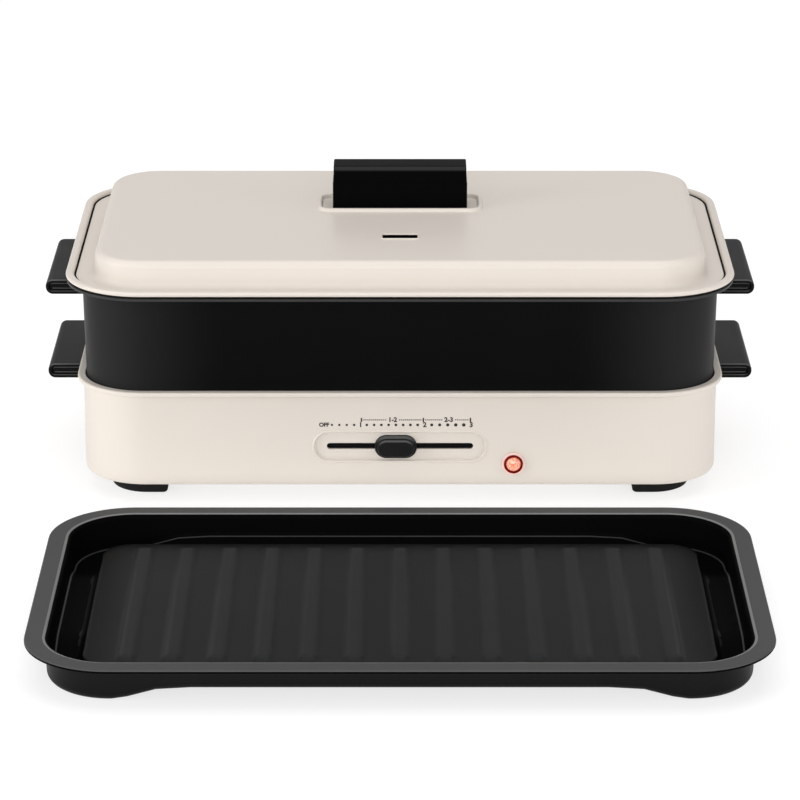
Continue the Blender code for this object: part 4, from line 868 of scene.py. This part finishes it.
def table_height(x, y):
    """Height of the plateau above the gutter at one spot."""
    inside = -reach_from(x, y, TABLE_X, TABLE_Y, TABLE_TURN)
    return (PLATEAU - GUTTER + 0.0003) * ease(inside / TABLE_FLANK)


def rib_height(x, y):
    """Height of the ribs above the plateau at one spot."""
    nearest = min(max(round(x / RIB_PITCH), -(RIB_COUNT // 2)), RIB_COUNT // 2)
    gap_x = RIB_HALF[0] - abs(x - nearest * RIB_PITCH)
    gap_y = RIB_HALF[1] - abs(y)
    return RIB_HEIGHT * ease(gap_x / RIB_FLANK[0]) * ease(gap_y / RIB_FLANK[1])


form = bmesh.new()
bmesh.ops.create_grid(form, x_segments=380, y_segments=76, size=0.5)
for point in form.verts:
    x = point.co.x * 2 * (TABLE_X + BORDER)
    y = math.sin(point.co.y * math.pi) * (TABLE_Y + BORDER)
    point.co = (x, y, GUTTER - 0.0001 + table_height(x, y) + rib_height(x, y))
sink_corners(form, *GRIDDLE_SINK)
bmesh.ops.solidify(form, geom=form.faces[:], thickness=TABLE_SKIN)
move(form, table)
piece_from("griddle_ribs", form, GRIDDLE_FLOOR, "griddle")

# %% [markdown]
# ## The base shell
#
# The base is a drawn ring with a rolled lip. Its front wall is flat between the corners,
# so the panel of the slide control is pressed there: the front faces are taken out and
# filled again round the openings. Rings with small rises make the soft rim of the panel.

# %% Draw the base shell
WALL = 0.0012
HEM_REACH = -0.014
BASE_TURN = 0.0385
BASE_LOW, BASE_TOP = base_low.z, base_high.z
LIP_UNDER = BASE_TOP - 0.003
shell = run_round([
    (HEM_REACH, BASE_LOW, 0), (0, BASE_LOW, 0.003), (0, LIP_UNDER, 0.0007),
    (LIP, LIP_UNDER, 0.0009), (LIP, BASE_TOP, 0.0011), (-WALL, BASE_TOP, 0.0005),
    (-WALL, BASE_LOW + WALL, 0.0018), (HEM_REACH, BASE_LOW + WALL, 0)],
    BASE_X, BASE_Y, BASE_TURN, closed=True)
print("base ring", len(shell.faces), "faces")

# %% [markdown]
# A wall is opened by taking out its flat faces. A hole through it is a pair of rounded
# outlines, one in the outer and one in the inner sheet, that are bridged.

# %% Define how a wall is opened
LEAST_AREA = 0.00001


def take_wall(form, depth):
    """Take out the flat faces of one wall and return the edges round the hole."""
    faces = [face for face in form.faces
             if all(abs(point.co.y - depth) < TINY for point in face.verts)
             and face.calc_area() > LEAST_AREA]
    rim = [edge for edge in each_once(edge for face in faces for edge in face.edges)
           if sum(face in faces for face in edge.link_faces) == 1]
    bmesh.ops.delete(form, geom=faces, context="FACES_ONLY")
    loose = [edge for edge in form.edges if not edge.link_faces]
    bmesh.ops.delete(form, geom=loose, context="EDGES")
    return rim


def facing(x, y, z, front=True):
    """A matrix that puts a face upright at a place, looking to the front or the back."""
    turn = Matrix.Rotation(math.pi / 2 if front else -math.pi / 2, 4, "X")
    return Matrix.Translation((x, y, z)) @ turn


def hole_through(form, size, x, z, depths, steps, front=True):
    """Bridge a rounded outline at one depth to one at another, and return both."""
    loops = [outline_of(form, *size, facing(x, depth, z, front), steps) for depth in depths]
    join_loops(form, *loops)
    return loops


print("walls can be opened")

# %% Open the front wall
INNER_Y = BASE_Y - WALL
SLIDE_Z = 0.0356
LAMP_X, LAMP_Z = 0.0682, 0.0248
SLIDE_DEPTHS = (-BASE_Y + 0.001, -BASE_Y + 0.0027)
outer_front = take_wall(shell, -BASE_Y)
inner_front = take_wall(shell, -INNER_Y)
panel = rounded_face(shell, 0.1056, 0.0206, 0.0102, facing(0, -BASE_Y, SLIDE_Z), 20)
panel_edges = step_in(shell, panel, [
    (0.3, 0.3), (0.3, 0.24), (0.3, 0.08), (0.3, -0.08), (0.3, -0.34), (0.15, -0.6),
    (0.15, -0.7), (0.3, -0.12), (0.3, 0.02), (0.2, 0.1), (0.2, 0.1)])
patch = rounded_face(shell, 0.109, 0.025, 0.012, facing(0, -INNER_Y, SLIDE_Z, False), 16)
patch_edges = step_in(shell, patch, [(0.2, 1.3), (0.3, 0.2)])
slot_front, slot_back = hole_through(shell, (0.088, 0.0039, 0.0019), 0, SLIDE_Z,
                                     SLIDE_DEPTHS, 8)
sheet_between(shell, open_face(shell, panel), (slot_front,), (0, -1, 0))
sheet_between(shell, open_face(shell, patch), (slot_back,), (0, 1, 0))
lamp_outer, lamp_inner = hole_through(shell, (0.0096, 0.0096, 0.0047), LAMP_X, LAMP_Z,
                                      (-BASE_Y, -INNER_Y), 8)
sheet_between(shell, outer_front, (panel_edges, lamp_outer), (0, -1, 0))
sheet_between(shell, inner_front, (patch_edges, lamp_inner), (0, 1, 0))
print("front wall opened")

# %% [markdown]
# The back wall has one opening, for the power inlet, and is opened and filled in the
# same way.

# %% Open the back wall and finish the shell
INLET_Z = 0.032
outer_back = take_wall(shell, BASE_Y)
inner_back = take_wall(shell, INNER_Y)
inlet_outer, inlet_inner = hole_through(shell, (0.0406, 0.0206, 0.0042), 0, INLET_Z,
                                        (BASE_Y, INNER_Y), 6, front=False)
sheet_between(shell, outer_back, (inlet_outer,), (0, 1, 0))
sheet_between(shell, inner_back, (inlet_inner,), (0, -1, 0))
move(shell, stack)
piece_from("base", shell, CREAM, "base", "base_shell")

# %% [markdown]
# ## The knob of the slide control
#
# The knob is a black button with round ends and two tiers. It starts as a rounded face on
# the panel. Steps outwards with small roundings make the lower tier and the pad on it.

# %% Model the knob
knob_low, knob_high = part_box("slide_knob")
form = bmesh.new()
knob_face = rounded_face(form, knob_high.x - knob_low.x, knob_high.z - knob_low.z, 0.0071,
                         facing(middle_of("slide_knob")[0], knob_high.y, SLIDE_Z), 20)
step_in(form, knob_face, [
    (0, 1.4), (0.2, 0.5), (0.4, 0.5), (0.4, 0.2), (0.4, 0.1), (0.1, 0.1), (0.1, 0.35),
    (0.1, 1.3), (0.2, 0.5), (0.3, 0.4), (0.4, 0.3), (0.6, 0.1)])
close_holes(form)
piece_from("knob", form, KNOB_BLACK, "slider", "slide_knob", sharp=60)

# %% [markdown]
# ## The pilot lamp
#
# The lamp is turned: a pale pink flange lies on the wall, a dark red ring stands on it
# and a domed lens sits in the ring. Each is a wire of its section, rounded by a vertex
# bevel and spun through a full turn.

# %% Turn the lamp
FRONT_Y = stack.y - BASE_Y
LAMP_PARTS = (
    ("lamp_flange", FLANGE_PINK, "lamp_red", None, (
        (0.0048, 0.0003, 0), (0.0071, 0.0003, 0.0002), (0.0071, 0.001, 0.0004),
        (0.0058, 0.0012, 0), (0.0048, 0.0012, 0), (0.0048, 0.0003, 0))),
    ("lamp_ring", RING_RED, "lamp_red", "pilot_bezel", (
        (0.0046, -0.009, 0), (0.0046, 0.002, 0), (0.0048, 0.0025, 0.0002),
        (0.0056, 0.0025, 0.0003), (0.0058, 0.001, 0), (0.00475, 0.0004, 0),
        (0.00475, -0.009, 0), (0.0046, -0.009, 0))),
    ("lamp_lens", LENS, "lamp_orange", "pilot_lens", (
        (0, 0.0034, 0), (0.0012, 0.0033, 0), (0.003, 0.0029, 0), (0.0041, 0.0021, 0),
        (0.0045, 0.001, 0.0004), (0.0045, -0.0115, 0.0004), (0, -0.0115, 0))))
for name, finish, slot, node, section in LAMP_PARTS:
    form = draw_wire(section, 4)
    bmesh.ops.spin(form, geom=form.verts[:] + form.edges[:], cent=(0, 0, 0), axis=(0, 0, 1),
                   angle=math.tau, steps=48, use_merge=True)
    bmesh.ops.remove_doubles(form, verts=form.verts, dist=TINY / 2)
    bmesh.ops.transform(form, matrix=facing(LAMP_X, FRONT_Y, LAMP_Z), verts=form.verts)
    piece_from(name, form, finish, "base", node)

# %% [markdown]
# ## The side handles
#
# Pot and base have a flat black handle on each side. A skin is folded round a core, so the
# end shows a stadium inside a stadium. Each is a bar along X with two round edges, whose
# ends are stepped, and is then turned to its side.

# %% Model the side handles
SIDE_PARTS = (("strap", 0.001, ((0.9, 0), (0.3, -0.3), (0.2, -1.2))),
              ("core", 0.0005, ((0.7, 0), (0.3, -0.3), (0.2, 0))))
for body, side, (part, edge, steps) in itertools.product(
        ("pot", "base"), ("left", "right"), SIDE_PARTS):
    node = f"{body}_handle_{side}_{part}"
    low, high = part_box(node)
    half_length = half_depth_of(node)
    form = bar_along_x(sorted((abs(low.x), abs(high.x))), (low.z, high.z), half_length, edge,
                       (high.z - low.z) / 2 * 0.92, (1, 2))
    ends = [face for face in form.faces
            if all(abs(abs(point.co.x) - half_length) < TINY for point in face.verts)]
    for face in ends:
        step_in(form, face, steps)
    turn = Matrix.Rotation(math.copysign(math.pi / 2, -low.x), 4, "Z")
    bmesh.ops.transform(form, matrix=Matrix.Translation(stack) @ turn, verts=form.verts)
    piece_from(node.replace("handle_", "side_"), form, SIDE_BLACK, body, node)

# %% [markdown]
# ## The feet
#
# Four black feet stand under the corners of the base. The outer corner of a foot follows
# the corner of the base, the others are nearly square. The lower rim is eased, and a bore
# takes the screw.

# %% Model the feet
FEET = ("foot_front_left", "foot_front_right", "foot_back_left", "foot_back_right")
BORE_RADIUS, BORE_DEPTH = 0.0042, 0.007


def foot_of(name):
    """One foot from its box in the frame."""
    low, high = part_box(name)
    middle_x, middle_y, _ = middle_of(name)
    form = bmesh.new()
    for corner in rectangle(form, high.x - low.x, high.y - low.y):
        outer = corner.co.x * middle_x > 0 and corner.co.y * (middle_y - stack.y) > 0
        round_off(form, [corner], 0.0225 if outer else 0.003, 14 if outer else 6)
    push_out(form, form.faces[:], (0, 0, high.z - low.z))
    rim = [edge for edge in form.edges if sum(abs(point.co.z) for point in edge.verts) < TINY]
    round_off(form, rim, 0.0018, 5, "EDGES")
    bottom = max((face for face in form.faces if face.calc_center_median().z < TINY),
                 key=lambda face: face.calc_area())
    outline, bore = open_face(form, bottom), circle_edges(form, BORE_RADIUS)
    sheet_between(form, outline, (bore,), (0, 0, -1))
    move_on(form, bore, (0, 0, BORE_DEPTH))
    close_holes(form)
    move(form, (middle_x, middle_y, low.z))
    return form


for name in FEET:
    piece_from(name.replace("foot_", "leg_"), foot_of(name), RUBBER, "base",
               name)

# %% [markdown]
# ## Screws
#
# A low round head sits in each foot's bore, and two hold the handle's plate under the lid.
# The head grows from its top rim by extrusions, and the recess is a cross-shaped face that
# is pressed in.

# %% Model the screws
SCREW_RADIUS, SCREW_RISE = 0.0034, 0.0017
CROSS_TIP, CROSS_ARM = 0.54, 0.0756
HEAD_RINGS = ((1.24, 0.14), (1.1, 0.2), (1.02, 0.22), (1.0, 0.44))


def press_cross(form):
    """Press a cross into the top of a screw and return its open outline."""
    tip, arm = CROSS_TIP * SCREW_RADIUS, CROSS_ARM * SCREW_RADIUS
    points = []
    for x, y in ((1, 0), (0, 1), (-1, 0), (0, -1)):
        for ahead, aside in ((tip, -arm), (tip, arm), (arm, arm)):
            points.append(form.verts.new((x * ahead - y * aside, y * ahead + x * aside,
                                          SCREW_RISE)))
    face = form.faces.new(points)
    push_out(form, [face], (0, 0, -0.5 * SCREW_RISE))
    return open_face(form, face)


def screw_head(form, place):
    """A low round head with a cross recess, its axis along the place's Z."""
    before = set(form.verts)
    rim = edges = circle_edges(form, SCREW_RADIUS * 0.72, SCREW_RISE)
    for grow, drop in HEAD_RINGS:
        edges = move_on(form, edges, (0, 0, -drop * SCREW_RISE))
        bmesh.ops.scale(form, vec=(grow, grow, 1), verts=ends_of(edges))
    bmesh.ops.holes_fill(form, edges=edges, sides=0)
    sheet_between(form, rim, (press_cross(form),), (0, 0, 1))
    bmesh.ops.transform(form, matrix=place,
                        verts=[point for point in form.verts if point not in before])


def screws_at(name, body, spots):
    """One piece with a head at each spot, all facing down."""
    form = bmesh.new()
    for spot in spots:
        screw_head(form, Matrix.Translation(spot) @ Matrix.Rotation(math.pi, 4, "X"))
    piece_from(name, form, STEEL, body)


screws_at("foot_screws", "base", [(*middle_of(name)[:2], BORE_DEPTH) for name in FEET])
plate_y, plate_z = middle_of("lid_handle_plate")[1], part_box("lid_handle_plate")[0].z
screws_at("plate_screws", "lid", [(x, plate_y, plate_z) for x in (-0.022, 0.022)])

# %% [markdown]
# ## The scale over the slide
#
# The scale is printed: a row of dots that grow with the heat, plain numbers at the three
# steps, and a row above with two dotted ranges. The marks are thin blocks on the wall.

# %% Print the scale
INK = finish_of("black_ink", 0.006, 0.01, (0.45, 0.55), 0.05, (900, 60))
DOT_ROW, RANGE_ROW = 0.0494, 0.0526
DOT_PITCH, DOT_SIZE = 0.0012, 0.0008
marks = bmesh.new()


def block(x, z, width, height):
    """A thin printed block with round corners on the front wall."""
    face = rounded_face(marks, width, height, min(width, height) * 0.49,
                        facing(x, FRONT_Y + 0.00002, z), 5)
    push_out(marks, [face], (0, -0.00007, 0))


for first, last, count, small, large in (
        (-0.0408, -0.0275, 4, 0.00135, 0.00145), (-0.0199, 0.0106, 8, 0.00155, 0.0017),
        (0.019, 0.0382, 5, 0.0018, 0.00215)):
    for index in range(count):
        share = index / (count - 1)
        size = small + share * (large - small)
        block(first + share * (last - first), DOT_ROW, size, size)
for tick in (-0.0231, 0.014, 0.0422):
    block(tick, RANGE_ROW, 0.0009, 0.0027)
for first, last in ((-0.0222, -0.008), (-0.0008, 0.0131), (0.0149, 0.0256), (0.0328, 0.0413)):
    count = round((last - first) / DOT_PITCH)
    for index in range(count):
        block(first + (index + 0.5) * (last - first) / count, RANGE_ROW, DOT_SIZE, DOT_SIZE)
print("marks so far:", len(marks.faces), "faces")

# %% [markdown]
# The numbers are letters of Blender's own font. Each is made as a text curve with a
# little depth, turned into a mesh and added to the same form.

# %% Print the numbers
def add_text(words, size, x, z):
    """Add raised letters, upright on the front wall."""
    curve = bpy.data.curves.new("letters", "FONT")
    curve.body, curve.size = words, size
    curve.align_x = curve.align_y = "CENTER"
    curve.extrude, curve.offset = 0.000035, 0.00016
    letters = bpy.data.objects.new("letters", curve)
    mesh = bpy.data.meshes.new_from_object(letters)
    mesh.transform(facing(x, FRONT_Y - 0.000015, z))
    marks.from_mesh(mesh)
    bpy.data.objects.remove(letters)
    bpy.data.curves.remove(curve)
    bpy.data.meshes.remove(mesh)


for words, size, x, row in (
        ("OFF", 0.0034, -0.0455, DOT_ROW), ("1", 0.0043, -0.0236, DOT_ROW),
        ("2", 0.0043, 0.0148, DOT_ROW), ("3", 0.0043, 0.0427, DOT_ROW),
        ("1-2", 0.004, -0.0044, RANGE_ROW), ("2-3", 0.004, 0.0292, RANGE_ROW)):
    add_text(words, size, x, row)
bmesh.ops.remove_doubles(marks, verts=marks.verts, dist=TINY / 10)
piece_from("slide_marks", marks, INK, "base", sharp=30)

# %% [markdown]
# ## Finishes of the pieces that stay
#
# The works inside keep the frame's own shape. Each gets its finish in place of the
# frame's plain one.

# %% Finish the pieces that stay
STAYING = (
    (CREAM, "bottom_plate"),
    (STEEL, "heat_tray element_bracket_left element_bracket_right slide_rail lid_handle_plate"),
    (ELEMENT, "heating_element"),
    (CERAMIC, "element_terminal_front element_terminal_back thermostat_body thermal_fuse"),
    (PLASTIC, "slide_carriage pilot_nut inlet_housing"),
    (BRASS, "thermostat_spindle inlet_pin_live inlet_pin_neutral inlet_pin_earth"),
    (SLEEVE, "lead_live lead_neutral lead_fused lead_switched"))
for finish, names in STAYING:
    for name in names.split():
        finishes = nodes[name].data.materials
        finishes.clear()
        finishes.append(finish)
    print(finish.name, "on", names)

# %% [markdown]
# ## Floor and light
#
# The set stands on a wide white floor that glows a little. The camera sees a second,
# brighter shader on it, so the ground stays plain while the weaker one lights the set. A
# large soft panel overhead lights floor and lid, one in front lifts the walls, and a weak
# one behind lifts the lid from the ground. Two tall panels at the sides draw the shine
# down the rounded corners.

# %% Lay the floor
WHITE = colour(1.0)
form = bmesh.new()
bmesh.ops.create_grid(form, x_segments=1, y_segments=1, size=30)
FLOOR = finish_of("white_floor", 0.84, 0.86, (0.85, 0.95), 0.0, (3, 1), specular=0.1)
floor_tree = FLOOR.node_tree
lit = shader_of(FLOOR)
fill(lit, {"Emission Color": WHITE, "Emission Strength": 0.32})
seen = add_node(floor_tree, "BsdfPrincipled", {
    "Base Color": colour(0.35), "Roughness": 0.9, "Specular IOR Level": 0.1,
    "Emission Color": WHITE, "Emission Strength": 0.72})
path = add_node(floor_tree, "LightPath", {})
either = add_node(floor_tree, "MixShader", {
    "Fac": path.outputs["Is Camera Ray"], 1: lit.outputs["BSDF"], 2: seen.outputs["BSDF"]})
fill(floor_tree.nodes["Material Output"], {"Surface": either.outputs["Shader"]})
floor = add_object("floor", mesh_of("floor", form, (FLOOR,)))
print("floor laid")

# %% Light the set
sky = bpy.data.worlds.new("sky")
sky.use_nodes = True
fill(sky.node_tree.nodes["Background"], {"Color": (1.0, 0.995, 0.99, 1), "Strength": 0.36})
bpy.context.scene.world = sky
bpy.context.scene.view_settings.view_transform = "Standard"


def soft_panel(name, power, size, place, aim=(0, 0.1, 0.05)):
    """A rectangular soft light that looks at a point."""
    light = bpy.data.lights.new(name, "AREA")
    light.shape = "RECTANGLE"
    light.size, light.size_y = size
    light.energy = power
    holder = add_object(name, light)
    holder.location = place
    holder.rotation_euler = (Vector(aim) - Vector(place)).to_track_quat("-Z", "Y").to_euler()


soft_panel("top_panel", 31, (2.4, 2.4), (0, 0.3, 2.4), (0, 0.1, 0))
soft_panel("front_panel", 53, (3.0, 1.2), (0, -3.0, 0.8))
soft_panel("back_panel", 5, (3.0, 0.8), (0, 2.6, 0.9))
soft_panel("left_panel", 24, (1.0, 1.4), (-2.3, -0.9, 0.7))
soft_panel("right_panel", 10, (1.0, 1.4), (2.3, -0.9, 0.7))
print("lights placed")
